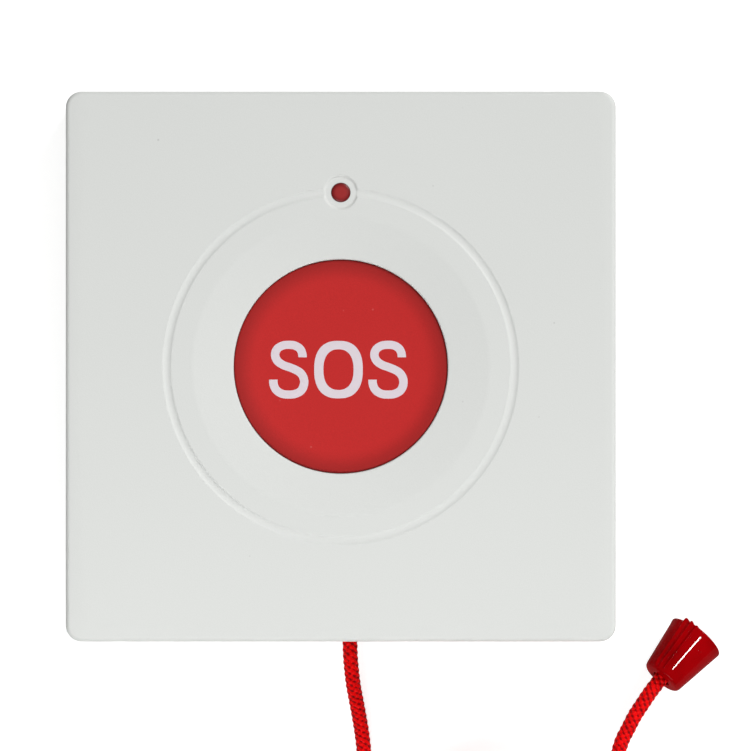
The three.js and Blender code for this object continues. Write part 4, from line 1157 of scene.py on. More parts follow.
@dataclass
class PullCord:
    """The braided cord: out of the base, round a stored coil and up into the knob.

    The coil has four layers of four turns each, and its neighbours stand one cord apart.
    """

    radius: float = 1.15
    exit: tuple[float, float, float] = (1.4, -43.2, 6.2)
    inner_end: tuple[float, float, float] = (1.4, -38.2, 6.2)
    feed: tuple[tuple[float, float, float], ...] = (
        (1.45, -45.5, 6.0), (1.65, -48.0, 5.3), (1.95, -50.5, 4.3), (2.4, -53.0, 3.2),
        (2.85, -55.5, 2.3), (3.25, -58.0, 1.6), (3.55, -60.5, 1.25), (3.75, -63.5, 1.2),
        (3.85, -66.5, 1.2), (3.85, -69.5, 1.2), (3.75, -72.5, 1.2), (3.6, -75.3, 1.2),
    )
    join: tuple[tuple[float, float, float], ...] = ((3.75, -78.6, 1.17), (4.45, -82.4, 1.15))
    tail: tuple[tuple[float, float, float], ...] = (
        (40.35, -79.2, 8.0), (41.5, -76.0, 7.9), (41.6, -73.0, 7.6), (41.9, -70.0, 7.3), (42.3, -67.0, 7.1),
        (42.9, -64.0, 7.0), (43.7, -61.3, 7.05), (44.4, -59.0, 7.2), (45.4, -57.0, 7.4),
        (46.2, -55.4, 7.55), (47.6, -53.2, 7.65), (48.9, -51.3, 7.45),
    )
    coil_centre: tuple[float, float] = (22.6, -82.0)
    tracks: tuple[float, ...] = (17.25, 14.95, 12.65, 10.35)
    levels: tuple[float, ...] = (1.15, 3.45, 5.75, 8.05)
    start_angle: float = 197.0
    jog_half: float = 20.0
    bow: float = 0.95
    columns: int = 30
    yarns: int = 5
    relief: float = 0.045
    swell: float = 1.2
    dip: float = 2.2
    dip_power: float = 1.5
    span_steps: int = 12
    into_knob: tuple[float, ...] = (0.0, 2.6, 5.1)
    seen_from_y: float = -63.0
    seen_below_z: float = 9.5
    ring_steps: tuple[float, float] = (0.125, 1.1)

    def coil(self) -> np.ndarray:
        """The wound turns, every 3 degrees.

        The angle runs on without a break from the start. Within 20 degrees of each crossing of 180
        degrees the radius goes smoothly to the next track, or stays and the height goes to the next
        layer, with a bow outwards or inwards so that it passes its neighbours.
        """
        layers = len(self.levels)
        order = [r for k in range(layers) for r in (self.tracks if k % 2 == 0 else self.tracks[::-1])]
        level = [z for z in self.levels for _ in self.tracks]
        angle = np.arange(self.start_angle, 360.0 * len(order) + 0.01, 3.0)
        radius = np.full(angle.shape, order[0])
        height = np.full(angle.shape, level[0])
        for k in range(1, len(order)):
            middle = 180.0 + 360.0 * k
            share = smooth_step((angle - middle + self.jog_half) / (2 * self.jog_half))
            radius = radius + (order[k] - order[k - 1]) * share
            height = height + (level[k] - level[k - 1]) * share
            if level[k] != level[k - 1]:
                side = 1.0 if order[k] > np.mean(self.tracks) else -1.0
                radius = radius + side * self.bow * np.sin(np.pi * share)
        turn = np.radians(angle)
        x = self.coil_centre[0] + radius * np.cos(turn)
        y = self.coil_centre[1] + radius * np.sin(turn)
        return np.stack([x, y, height], -1)

    def route(self, axis: KnobAxis) -> np.ndarray:
        """The whole centreline from the exit to inside the knob, as one smooth curve."""
        steps = self.span_steps
        into_knob = np.array([axis.along(t) for t in self.into_knob])
        loose = spline(np.array([self.inner_end, self.exit, *self.feed, *self.join]), steps)
        coil = spline(self.coil(), 2)
        end = spline(np.concatenate([coil[-1:], np.array(self.tail), into_knob]), steps)
        around = np.concatenate([loose[-steps - 1 : -steps], loose[-1:], coil[:1], coil[4:5]])
        bridge = spline(around, steps)[steps : 2 * steps + 1]
        return np.concatenate([loose[:-1], bridge[:-1], coil[:-1], end])

    def stations(self, path: np.ndarray) -> np.ndarray:
        """The ways along the path where rings stand, close together in sight and wide in the coil."""
        along = arc_lengths(path)
        seen = (path[:, 1] > self.seen_from_y) & (path[:, 2] < self.seen_below_z)
        step = np.where(seen, *self.ring_steps)
        count = np.concatenate([[0.0], np.cumsum(np.diff(along) / step[1:])])
        whole = np.linspace(0, count[-1], int(count[-1]) + 1)
        return np.interp(whole, count, along)

    def skin(self, path: np.ndarray) -> Surface:
        """A tube about the path: P(s, a) = C(s) + r(s, a) (cos a N(s) + sin a B(s)).

        The frame is carried along without twist against a fixed reference, and r waves with the
        braid: two families of yarn cross at 5a / 2pi + s and 5a / 2pi - s turns.
        """
        stations = self.stations(path)
        centre = resampled(path, stations)
        tangent = np.gradient(centre, stations, axis=0)
        tangent /= np.linalg.norm(tangent, axis=1, keepdims=True)
        up = np.array([0.0, 0.0, 1.0])
        side = np.cross(tangent, up)
        side /= np.linalg.norm(side, axis=1, keepdims=True)
        other = np.cross(side, tangent)
        turn = np.linspace(0, 1, self.columns, endpoint=False)
        a = 2 * np.pi * turn[None]
        around = self.yarns * turn[None]
        p, q = around + stations[:, None], around - stations[:, None]
        yarn = np.abs(np.sin(np.pi * p)) * np.abs(np.sin(np.pi * q))
        fine = np.gradient(stations) < 0.3
        low = self.dip * fine[:, None] * (1 - yarn) ** self.dip_power
        radius = self.radius + self.relief * (self.swell - low)
        grid = centre[:, None] + radius[..., None] * (
            np.cos(a)[..., None] * side[:, None] + np.sin(a)[..., None] * other[:, None]
        )
        rows, columns = len(stations), self.columns
        quads = grid_quads(rows, columns, False, True)
        i, j = (m.ravel() for m in np.meshgrid(np.arange(rows - 1), np.arange(columns), indexing="ij"))
        u0, u1 = j / columns, (j + 1) / columns
        v0, v1 = stations[i], stations[i + 1]
        corners = ((u0, v0), (u1, v0), (u1, v1), (u0, v1))
        uv = np.stack([np.stack(corner, -1) for corner in corners], 1)
        flat = np.concatenate([grid.reshape(-1, 3), centre[:1], centre[-1:]])
        k = np.arange(columns)
        right, last, count = (k + 1) % columns, (rows - 1) * columns, rows * columns
        front = np.stack([np.full(columns, count), right, k], -1)
        back = np.stack([np.full(columns, count + 1), last + k, last + right], -1)
        fan = np.zeros((columns, 3, 2))
        fan_end = fan + np.array([0, stations[-1]])
        return Surface(flat, [quads, front, back], [uv, fan, fan_end]).outward()

    def build(self, palette: Palette, knob: PullKnob, pieces: list[bpy.types.Object]) -> bpy.types.Object:
        """Makes the cord.

        Args:
            palette: the finishes.
            knob: the knob that it runs into.
            pieces: the separate pieces on its far end; not used.
        Returns:
            The cord.
        """
        path = self.route(knob.axis)
        cord = mesh_object("pull_cord", self.skin(path), palette["cord_red"], 180)
        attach(cord, Body.PULL.value)
        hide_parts("pull_cord_feed", "pull_cord_coil", "pull_cord_tail")
        return cord


# The front cover


@dataclass
class FrontCover:
    """The square front with its dished aperture, ring groove, lamp pocket and skirt."""

    half: float = 43.0
    corner: float = 2.5
    edge: float = 0.7
    depth: float = 20.0
    lift: float = 0.3
    inner_half: float = 41.0
    inner_corner: float = 0.8
    inner_z: float = 18.0
    aperture: float = 16.75
    lip_round: float = 0.22
    collar: float = 18.55
    collar_z: float = 14.5
    dish_r: float = 23.2
    dish_depth: float = 0.65
    dish_soft: float = 0.35
    groove_r: float = 27.2
    groove_half: float = 0.625
    groove_depth: float = 0.18
    groove_power: float = 0.8
    pocket_depth: float = 0.24
    pocket_r: float = 2.65
    pocket_spread: float = 0.12
    pocket_wall: float = 0.42
    lamp_y: float = 27.2
    lamp_hole: float = 1.53
    hole_z: tuple[float, float] = (17.0, 21.0)
    guide_wall: float = 1.2
    guide_z: float = 15.2
    notch_x: float = 1.4
    notch_z: float = 6.2
    notch_r: float = 2.7
    notch_foot: float = -2.0
    notch_y: tuple[float, float] = (-45.0, -39.5)
    snap_x: float = 24.0
    snap_length: float = 8.0
    snap_z: float = 3.0
    snap_half: float = 0.384
    snap_reach: float = 0.8

    def angles(self) -> np.ndarray:
        """Directions about the centre, closer together at the corners and at the lamp's pocket."""
        parts = [np.arange(0, 360, 1.0)]
        parts += [np.arange(c - 3.2, c + 3.21, 0.2) for c in (45, 135, 225, 315)]
        parts.append(np.arange(82.6, 97.5, 0.2))
        return np.radians(np.unique(np.round(np.concatenate(parts), 3)))

    def square_reach(self, angle: np.ndarray, half: float, corner: float) -> np.ndarray:
        """Distance from the centre to a rounded square's edge in each direction.

        On a flat side it is half / max(|cos|, |sin|). At a corner it is the far root of the circle
        of the corner's radius about its centre.
        """
        c, s = np.abs(np.cos(angle)), np.abs(np.sin(angle))
        flat = half / np.maximum(c, s)
        k = half - corner
        along = k * (c + s)
        arc = along + np.sqrt(np.maximum(corner**2 - (2 * k**2 - along**2), 0))
        return np.where(np.minimum(c, s) * flat > k, arc, flat)

    def face_z(self, x: np.ndarray, y: np.ndarray) -> np.ndarray:
        """The front's height: 20 less the dish, and less the deeper of the groove and the pocket.

        The dish falls evenly from its rim to the aperture with a softened start. The groove is a
        parabola across its width, and the pocket has a short soft wall.
        """
        r = np.hypot(x, y)
        slope = self.dish_depth / (self.dish_r - self.aperture)
        soft = self.dish_soft
        inward = self.dish_r - r
        dish = slope * np.where(
            inward > soft, inward, np.where(inward > -soft, (inward + soft) ** 2 / (4 * soft), 0)
        )
        across = np.clip(np.abs(r - self.groove_r) / self.groove_half, 0, 1)
        groove = self.groove_depth * (1 - across**2) ** self.groove_power
        away = np.hypot(x, y - self.lamp_y)
        wall = (self.pocket_r + self.pocket_spread - away) / self.pocket_wall
        pocket = self.pocket_depth * smooth_step(wall)
        return self.depth - dish - np.maximum(groove, pocket)

    def skin(self) -> Surface:
        """P(a, s) = (d(a) rho(a, s), z(a, s)): one loop of stations from the collar round to itself."""
        angle = self.angles()
        flat_cos, flat_sin = np.cos(angle), np.sin(angle)
        rows: list[np.ndarray] = []

        def ring(reach: np.ndarray | float, z: np.ndarray | float) -> None:
            """Adds one closed ring of points."""
            rho = np.broadcast_to(reach, angle.shape)
            rows.append(np.stack([rho * flat_cos, rho * flat_sin, np.broadcast_to(z, angle.shape)], -1))

        def face_ring(reach: np.ndarray | float) -> None:
            """Adds a ring that lies on the front's face."""
            rho = np.broadcast_to(reach, angle.shape)
            ring(rho, self.face_z(rho * flat_cos, rho * flat_sin))

        lip_r = self.lip_round
        lip = float(self.face_z(np.array(self.aperture + lip_r), np.array(0.0)))
        for z in (self.collar_z, self.collar_z + 0.4, 16.5, 18.0, lip - 0.5, lip - lip_r):
            ring(self.aperture, z)
        for t in np.radians([22.5, 45, 67.5]):
            ring(self.aperture + lip_r * (1 - math.cos(t)), lip - lip_r + lip_r * math.sin(t))
        for span in ((self.aperture + lip_r, 22.6, 0.55), (22.6, 24.3, 0.14), (24.4, 30.2, 0.105)):
            for r in np.arange(*span):
                face_ring(r)
        start, inset = 30.3, self.half - self.edge
        rim = self.square_reach(angle, inset, self.corner - self.edge)
        for share in np.linspace(0, 1, 9):
            face_ring(start + (rim - start) * share)
        for t in np.radians([15, 30, 45, 60, 75, 90]):
            grow = self.edge * math.sin(t)
            reach = self.square_reach(angle, inset + grow, self.corner - self.edge + grow)
            ring(reach, self.depth - self.edge + self.edge * math.cos(t))
        outer = self.square_reach(angle, self.half, self.corner)
        for z in (16.0, 11.0, 6.0, self.lift + 0.35):
            ring(outer, z)
        ring(self.square_reach(angle, self.half - 0.1, self.corner - 0.1), self.lift + 0.1)
        ring(self.square_reach(angle, self.half - 0.35, self.corner - 0.35), self.lift)
        inner = self.square_reach(angle, self.inner_half, self.inner_corner)
        for z in (self.lift, 6.0, 12.0, self.inner_z - 0.4):
            ring(inner, z)
        tight = self.square_reach(angle, self.inner_half - 0.4, self.inner_corner)
        for share in (0.0, 0.35, 0.7, 1.0):
            ring(tight + (self.collar + 0.4 - tight) * share, self.inner_z)
        for z in (self.inner_z - 0.4, 16.0, self.collar_z):
            ring(self.collar, z)
        return closed_grid(np.stack(rows), True, False)

    def guide(self) -> Surface:
        """The ring under the front that guides the lamp: a rectangle turned about the lamp's axis."""
        inside, outside = self.lamp_hole, self.lamp_hole + self.guide_wall
        low, high = self.guide_z, self.inner_z + 0.1
        profile = np.array([(inside, low), (outside, low), (outside, high), (inside, high)])
        return revolved(profile, 48).moved(np.eye(3), np.array([0, self.lamp_y, 0]))

    def snaps(self) -> list[Surface]:
        """Four catches on the inner walls: a lens-shaped section carried along X."""
        out = []
        t = np.linspace(0, np.pi, 11)
        for side in (-1, 1):
            for x in (-self.snap_x, self.snap_x):
                wall = side * (self.inner_half + 0.15)
                y = wall - side * self.snap_reach * np.sin(t)
                z = self.snap_z - self.snap_half * np.cos(t)
                ends = np.array([x - self.snap_length / 2, x + self.snap_length / 2])
                grid = np.stack([np.stack([np.full(len(t), e), y, z], -1) for e in ends])
                out.append(closed_grid(grid, False, True))
        return out

    def cutter(self) -> list[Surface]:
        """What is cut away: the lamp's hole, and the cord's notch that is open to the rear."""
        low, high = self.hole_z
        profile = np.array([(0.0, low), (self.lamp_hole, low), (self.lamp_hole, high), (0.0, high)])
        hole = revolved(profile, 72).moved(np.eye(3), np.array([0, self.lamp_y, 0]))
        t = np.linspace(0, np.pi, 41)
        x = np.concatenate([self.notch_r * np.cos(t), [-self.notch_r, self.notch_r]]) + self.notch_x
        z = np.concatenate([self.notch_z + self.notch_r * np.sin(t), [self.notch_foot] * 2])
        grid = np.stack([np.stack([x, np.full(len(x), y), z], -1) for y in self.notch_y])
        return [hole, closed_grid(grid, False, True)]

    def build(self, palette: Palette) -> bpy.types.Object:
        """Makes the cover, cuts it and adds its inner features.

        Args:
            palette: the finishes.
        Returns:
            The cover, which stands for the CAD node front_cover.
        """
        white = palette["plate_white"]
        blank = mesh_object("front_cover_shell", self.skin(), white)
        tools = [mesh_object(f"cutter_{i}", skin, white) for i, skin in enumerate(self.cutter())]
        for tool in tools:
            cut = blank.modifiers.new(tool.name, "BOOLEAN")
            cut.operation, cut.solver, cut.object = "DIFFERENCE", "EXACT", tool
        shaped = bpy.data.meshes.new_from_object(blank.evaluated_get(bpy.context.evaluated_depsgraph_get()))
        blank.modifiers.clear()
        for tool in tools:
            bpy.data.objects.remove(tool)
        inner = self.guide().joined(*self.snaps())
        count = len(shaped.vertices)
        points = np.zeros(count * 3, np.float32)
        shaped.vertices.foreach_get("co", points)
        faces = [tuple(p.vertices) for p in shaped.polygons]
        faces += [tuple(v + count for v in row) for block in inner.faces for row in block.tolist()]
        whole = bpy.data.meshes.new("front_cover_shell")
        whole.from_pydata(np.concatenate([points.reshape(-1, 3), inner.points * MM]).tolist(), [], faces)
        whole.polygons.foreach_set("use_smooth", np.ones(len(whole.polygons), bool))
        whole.set_sharp_from_angle(angle=math.radians(38))
        whole.materials.append(white)
        blank.data = whole
        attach(blank, Body.HOUSING.value)
        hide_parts("front_cover")
        return blank


# The call button, its legend and the lamp


@dataclass
class CallButton:
    """The large red button, slightly hollow, with its skirt, stop flange and spring cup."""

    radius: float = 16.71
    top: float = 19.0
    hollow: float = 0.5
    round_r: float = 0.4
    under: float = 17.0
    skirt: float = 1.6
    flange_r: float = 18.2
    flange_top: float = 14.2
    flange_low: float = 13.0
    stem_r: float = 2.2
    stem_low: float = 16.0
    cup_in: float = 6.65
    cup_out: float = 7.45
    cup_low: float = 15.6
    columns: int = 256
    face_in: tuple[float, float] = (1.2, 1.6)

    def face_z(self, r: np.ndarray) -> np.ndarray:
        """The hollow face, steepest near its edge: z = top - hollow (1 - (r / R)^5)."""
        return self.top - self.hollow * (1 - np.clip(r / (self.radius - self.round_r), 0, 1) ** 5)

    def skin(self) -> Surface:
        """The whole section turned about Z, from the stem's foot round to the middle of the face."""
        shoulder, inner = (self.radius - step for step in self.face_in)
        lower = [
            (0.0, self.stem_low, 0),
            (self.stem_r, self.stem_low, 0.25),
            (self.stem_r, self.under, 0.3),
            (self.cup_in, self.under, 0.15),
            (self.cup_in, self.cup_low, 0.1),
            (self.cup_out, self.cup_low, 0.1),
            (self.cup_out, self.under, 0.3),
            (self.radius - self.skirt, self.under, 0.5),
            (self.radius - self.skirt, self.flange_low, 0.1),
            (self.flange_r, self.flange_low, 0.15),
            (self.flange_r, self.flange_top, 0.15),
            (self.radius, self.flange_top, 0.2),
            (self.radius, self.top, self.round_r),
            (shoulder, float(self.face_z(np.array(shoulder))), 0),
        ]
        outline = rounded_profile(lower, 6)
        r = np.linspace(inner, 0, 24)
        face = np.stack([r, self.face_z(r)], -1)
        return revolved(np.concatenate([outline, face]), self.columns)

    def build(self, palette: Palette) -> bpy.types.Object:
        """Makes the button.

        Args:
            palette: the finishes.
        Returns:
            The button, which stands for the CAD node button_cap.
        """
        button = mesh_object("call_button", self.skin(), palette["button_red"], 40)
        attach(button, Body.BUTTON.value)
        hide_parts("button_cap")
        return button


@dataclass
class Legend:
    """The distress legend printed on the button, drawn with plain strokes of even width."""

    button: CallButton
    centre_y: float = -0.48
    left_x: float = -8.13
    middle_x: float = -0.365
    right_x: float = 7.4
    proud: float = 0.03
    rise: tuple[float, ...] = (0.55, 1.0, 1.0, 1.0, 0.55)
    sunk: float = 0.08
    bend: tuple[tuple[float, float], ...] = (
        (2.05, 1.2), (2.15, 1.93), (2.12, 2.35), (1.75, 3.25), (0.9, 3.78), (0.0, 3.88), (-1.0, 3.75),
        (-1.85, 3.2), (-2.15, 2.35), (-1.85, 1.45), (-0.95, 0.75), (0.0, 0.4), (1.0, 0.0), (1.9, -0.6),
        (2.38, -1.6), (2.35, -2.4), (1.95, -3.25), (1.05, -3.78), (0.0, -3.9), (-1.05, -3.78),
        (-1.95, -3.2), (-2.38, -2.3), (-2.42, -1.57), (-2.3, -0.9),
    )
    upper_end: float = 1.93
    lower_end: float = -1.57
    side_half: float = 0.66
    level_half: float = 0.64
    outer_oval: tuple[float, float, float] = (3.8, 4.5, 2.45)
    inner_oval: tuple[float, float, float] = (2.36, 3.18, 2.35)

    def bent_edges(self) -> tuple[np.ndarray, np.ndarray]:
        """The two edges of the bent stroke: the centreline offset by its half width to each side.

        The half width goes from the value for upright runs to that for level ones with the square
        of the direction's level part. Both edges end level with each other at the two ends.
        """
        line = spline(np.array(self.bend), 10)
        way = np.gradient(line, axis=0)
        way /= np.linalg.norm(way, axis=1, keepdims=True)
        half = self.side_half + (self.level_half - self.side_half) * way[:, :1] ** 2
        normal = np.stack([-way[:, 1], way[:, 0]], -1)
        edges = []
        steps = np.arange(len(line), dtype=float)
        for side in (half, -half):
            edge = line + normal * side
            first = int(np.argmax(edge[:, 1] >= self.upper_end))
            below = (steps > len(line) / 2) & (edge[:, 1] <= self.lower_end)
            last = int(np.flatnonzero(below)[-1])
            y0, y1 = edge[first - 1, 1], edge[first, 1]
            start = first - 1 + (self.upper_end - y0) / (y1 - y0)
            y0, y1 = edge[last, 1], edge[last + 1, 1]
            stop = last + (self.lower_end - y0) / (y1 - y0)
            at = np.linspace(start, stop, 120)
            edges.append(np.stack([np.interp(at, steps, edge[:, k]) for k in (0, 1)], -1))
        return edges[0], edges[1]

    def ring_edges(self) -> tuple[np.ndarray, np.ndarray]:
        """The round letter's edges: |x / a|^n + |y / b|^n = 1 for the outside and for the inside."""
        t = np.linspace(0, 2 * np.pi, 121)[:-1]

        def oval(a: float, b: float, n: float) -> np.ndarray:
            """Points of one closed oval."""
            c, s = np.cos(t), np.sin(t)
            return np.stack(
                [a * np.sign(c) * np.abs(c) ** (2 / n), b * np.sign(s) * np.abs(s) ** (2 / n)], -1
            )

        return oval(*self.outer_oval), oval(*self.inner_oval)

    def stroke(self, left: np.ndarray, right: np.ndarray, x: float, closed: bool) -> Surface:
        """A flat ribbon between two edges: a rectangle carried along them on the hollow face."""
        across = np.linspace(0, 1, len(self.rise))[None, :, None]
        flat = left[:, None] * (1 - across) + right[:, None] * across + np.array([x, self.centre_y])
        reach = np.hypot(flat[..., 0], flat[..., 1])
        face = self.button.face_z(reach)
        upper = np.concatenate([flat, (face + self.proud * np.array(self.rise))[..., None]], -1)
        lower = np.concatenate([flat, (face - self.sunk)[..., None]], -1)[:, ::-1]
        return closed_grid(np.concatenate([upper, lower], 1), closed, not closed)

    def build(self, palette: Palette) -> bpy.types.Object:
        """Makes the three strokes as one print.

        Args:
            palette: the finishes.
        Returns:
            The print, which rides on the button.
        """
        bent = self.bent_edges()
        ring = self.ring_edges()
        first = self.stroke(*bent, self.left_x, False)
        middle = self.stroke(*ring, self.middle_x, True)
        skin = first.joined(middle, self.stroke(*bent, self.right_x, False))
        print_piece = mesh_object("button_legend", skin, palette["spacer_white"], 60)
        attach(print_piece, Body.BUTTON.value)
        return print_piece


@dataclass
class StatusLamp:
    """The small red lamp on the ring groove."""

    y: float = 27.2
    radius: float = 1.48
    shoulder: float = 0.26
    top: float = 20.0
    low: float = 14.0
    flange_r: float = 1.9
    flange: float = 0.9
    dome_power: float = 0.45

    def skin(self) -> Surface:
        """A flanged rod with a flattened dome, (R cos^0.45 t, h sin t), turned about the lamp's axis."""
        t = np.linspace(0, np.pi / 2, 14)
        reach = self.radius * np.cos(t) ** self.dome_power
        dome = np.stack([reach, self.top - self.shoulder + self.shoulder * np.sin(t)], -1)
        dome[-1, 0] = 0.0
        foot = rounded_profile(
            [
                (0.0, self.low, 0),
                (self.flange_r, self.low, 0.12),
                (self.flange_r, self.low + self.flange, 0.12),
                (self.radius, self.low + self.flange, 0.1),
                (self.radius, self.top - self.shoulder - 0.2, 0),
            ]
        )
        profile = np.concatenate([foot, dome])
        return revolved(profile, 72).moved(np.eye(3), np.array([0, self.y, 0]))

    def build(self, palette: Palette) -> bpy.types.Object:
        """Makes the lamp.

        Args:
            palette: the finishes.
        Returns:
            The lamp, which stands for the CAD node status_led.
        """
        lamp = mesh_object("status_lamp", self.skin(), palette["lens_red"], 50)
        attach(lamp, Body.HOUSING.value)
        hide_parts("status_led")
        return lamp


# The inner springs, and the pieces that stay as they are


@dataclass
class ReturnSpring:
    """A round-wire compression spring.

    Its fixed end stands at `seat` and it runs up from there, or along the plate's +Y if `along_y`.
    """

    name: str
    node: str
    joint: str
    seat: tuple[float, float, float]
    along_y: bool
    radius: float
    wire: float
    turns: float
    length: float
    travel: float
    sides: int = 14
    steps_per_turn: int = 48

    def skin(self) -> Surface:
        """A tube about C(a) = (R cos a, R sin a, h(a)), whose height h grows evenly with a.

        N(a) is the way out from the axis, T the unit tangent and B = T x N, so that a ring of the
        wire is C + w (cos b N + sin b B).
        """
        a = np.linspace(0, 2 * np.pi * self.turns, int(self.turns * self.steps_per_turn) + 1)
        rise = (self.length - 2 * self.wire) / a[-1]
        out = np.stack([np.cos(a), np.sin(a), np.zeros_like(a)], -1)
        centre = self.radius * out + np.stack([0 * a, 0 * a, self.wire + rise * a], -1)
        tangent = np.stack([-self.radius * np.sin(a), self.radius * np.cos(a), rise + 0 * a], -1)
        tangent /= np.linalg.norm(tangent, axis=1, keepdims=True)
        other = np.cross(tangent, out)
        b = np.linspace(0, 2 * np.pi, self.sides, endpoint=False)
        ring = np.cos(b)[None, :, None] * out[:, None] + np.sin(b)[None, :, None] * other[:, None]
        return closed_grid(centre[:, None] + self.wire * ring, False, True)

    def build(self, palette: Palette) -> bpy.types.Object:
        """Makes the spring, which stays on the housing.

        Args:
            palette: the finishes.
        Returns:
            The spring.
        """
        turn = np.array([[1, 0, 0], [0, 0, 1], [0, -1, 0]], float) if self.along_y else np.eye(3)
        skin = self.skin().moved(turn, np.array(self.seat, float)).outward()
        spring = mesh_object(self.name, skin, palette["spring_steel"], 60)
        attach(spring, Body.HOUSING.value)
        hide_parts(self.node)
        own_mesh(spring)
        return spring


RETURN_SPRINGS = (
    ReturnSpring(
        name="button_return_spring",
        node="button_spring",
        joint="button_press",
        seat=(0, 0, 10.7),
        along_y=False,
        radius=6,
        wire=0.35,
        turns=3.5,
        length=6.2,
        travel=1.2,
    ),
    ReturnSpring(
        name="pull_return_spring",
        node="pull_spring",
        joint="pull_slide",
        seat=(1.4, -38.1, 6.2),
        along_y=True,
        radius=2.4,
        wire=0.3,
        turns=4.5,
        length=7,
        travel=4,
    ),
)


@dataclass
class Dresser:
    """Gives every shown CAD node the procedural material of its slot in the record."""

    nodes: dict[str, bpy.types.Object]
    record: dict

    def dress(self, palette: Palette) -> int:
        """Assigns the materials.

        Args:
            palette: the finishes.
        Returns:
            How many nodes were dressed.
        """
        slots = {row["node"]: row.get("material_slot") for row in self.record.get("subparts", [])}
        for name, node in self.nodes.items():
            material = palette.by_slot.get(slots.get(name, ""), palette["base_white"])
            for holder in node.material_slots:
                holder.material = material
        return len(self.nodes)


# The room


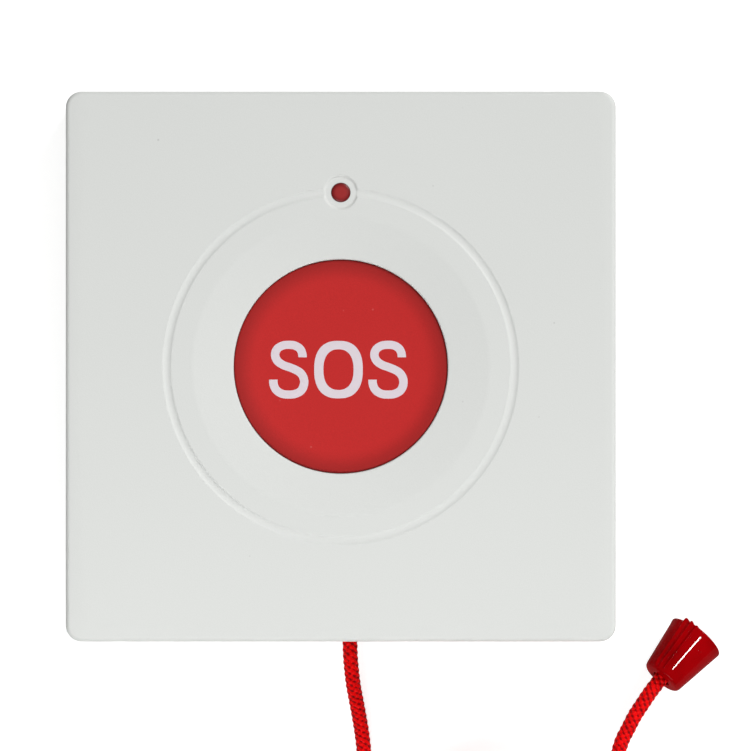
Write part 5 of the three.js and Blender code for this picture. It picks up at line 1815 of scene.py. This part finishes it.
@dataclass
class Studio:
    """A plain pale floor, a soft key from the upper right, a low fill and one small lamp."""

    centre: tuple[float, float, float] = (5.0, -10.0, 10.0)
    floor_half: float = 1500.0
    floor_z: float = -0.05
    floor_colour: tuple[float, float, float] = (214, 214, 213)
    seen_glow: float = 0.68
    mirrored_glow: float = 0.3
    surround: float = 0.25
    lamps: tuple[tuple[str, tuple[float, float, float], tuple[float, float], float], ...] = (
        ("key", (1383, 1431, 1342), (950, 950), 39.8),
        ("fill_low", (-60, -335, 290), (320, 160), 1.08),
        ("small", (370, 15, 1046), (60, 60), 0.42),
    )

    def lamp(
        self, name: str, place: tuple[float, float, float], size: tuple[float, float], power: float
    ) -> None:
        """An area lamp at a place, turned towards the alarm.

        Args:
            name: its name.
            place: where it stands, in millimetres from the centre.
            size: its width and height in millimetres.
            power: its power in watts.
        """
        data = bpy.data.lights.new(name, "AREA")
        data.shape, data.energy = "RECTANGLE", power
        data.size, data.size_y = size[0] * MM, size[1] * MM
        lamp = bpy.data.objects.new(name, data)
        spot = np.array(self.centre) + np.array(place)
        lamp.location = tuple(spot * MM)
        toward = np.array(self.centre) - spot
        toward = toward / np.linalg.norm(toward)
        pitch = math.acos(float(np.clip(-toward[2], -1, 1)))
        heading = math.atan2(float(toward[1]), float(toward[0])) - math.pi / 2
        lamp.rotation_euler = (pitch, 0.0, heading)
        lamp.visible_camera = False
        bpy.context.scene.collection.objects.link(lamp)

    def floor(self) -> None:
        """A wide flat floor just under the rear face, white to the camera apart from soft shadow."""
        side = np.array([-1.0, 1.0]) * self.floor_half
        x, y = (a.ravel() for a in np.meshgrid(side, side))
        mesh = bpy.data.meshes.new("floor")
        corners = np.stack([x, y, np.full(4, self.floor_z)], -1) * MM
        mesh.from_pydata(corners.tolist(), [], [(0, 1, 3, 2)])
        material, tree, shader = new_material("floor_white")
        shader.inputs["Roughness"].default_value = 0.9
        shader.inputs["Specular IOR Level"].default_value = 0.1
        tone = tree.ramp(tree.noise(tree.here(), 9.0, 2), 0.2, 0.8, 0.97, 1.0)
        tree.feed(shader.inputs["Base Color"], tree.scaled(linear(*self.floor_colour), tone))
        path = tree.add("ShaderNodeLightPath")
        seen = tree.math("MAXIMUM", path.outputs["Is Camera Ray"], path.outputs["Is Transmission Ray"])
        mirrored = tree.math("MULTIPLY", path.outputs["Is Glossy Ray"], self.mirrored_glow)
        glow = tree.add("ShaderNodeEmission")
        glow.inputs["Color"].default_value = STUDIO_WHITE
        tree.feed(glow.inputs["Strength"], tree.math("MULTIPLY_ADD", seen, self.seen_glow, mirrored))
        both = tree.add("ShaderNodeAddShader")
        tree.feed(both.inputs[0], shader.outputs[0])
        tree.feed(both.inputs[1], glow.outputs[0])
        output = next(n for n in material.node_tree.nodes if n.type == "OUTPUT_MATERIAL")
        tree.feed(output.inputs["Surface"], both.outputs[0])
        mesh.materials.append(material)
        floor = bpy.data.objects.new("floor", mesh)
        bpy.context.scene.collection.objects.link(floor)

    def world(self, strength: float) -> None:
        """An even dim surround that looks white to the camera.

        Args:
            strength: how bright it lights the alarm, where 1 is white.
        """
        world = bpy.data.worlds.new("surround")
        world.use_nodes = True
        world.node_tree.nodes.clear()
        tree = Tree(world.node_tree)
        path = tree.add("ShaderNodeLightPath")
        seen = tree.math("MAXIMUM", path.outputs["Is Camera Ray"], path.outputs["Is Transmission Ray"])
        back = tree.add("ShaderNodeBackground")
        back.inputs["Color"].default_value = STUDIO_WHITE
        tree.feed(back.inputs["Strength"], tree.math("MAXIMUM", seen, strength))
        output = tree.add("ShaderNodeOutputWorld")
        tree.feed(output.inputs["Surface"], back.outputs[0])
        bpy.context.scene.world = world

    def build(self) -> None:
        """Makes the floor, the surround and the lamps."""
        self.floor()
        self.world(self.surround)
        for row in self.lamps:
            self.lamp(*row)


def main() -> None:
    """Builds the alarm's look in order."""
    logging.basicConfig(level=logging.INFO, format="%(name)s: %(message)s")
    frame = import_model()
    PhotoCamera().build()
    palette = Palette()
    knob = PullKnob()
    fittings = knob.build(palette)
    cord = PullCord().build(palette, knob, fittings)
    cover = FrontCover().build(palette)
    button = CallButton()
    cap = button.build(palette)
    legend = Legend(button).build(palette)
    lamp = StatusLamp().build(palette)
    springs = [spring.build(palette) for spring in RETURN_SPRINGS]
    for piece in (*fittings, cord, cover, cap, legend, lamp, *springs):
        log.info("%s: %d faces", piece.name, len(piece.data.polygons))
    log.info("dressed %d CAD nodes", Dresser(frame["nodes"], frame["record"]).dress(palette))
    Studio().build()
    scene = bpy.context.scene
    scene.view_settings.view_transform = "Standard"


if __name__ == "__main__":
    main()
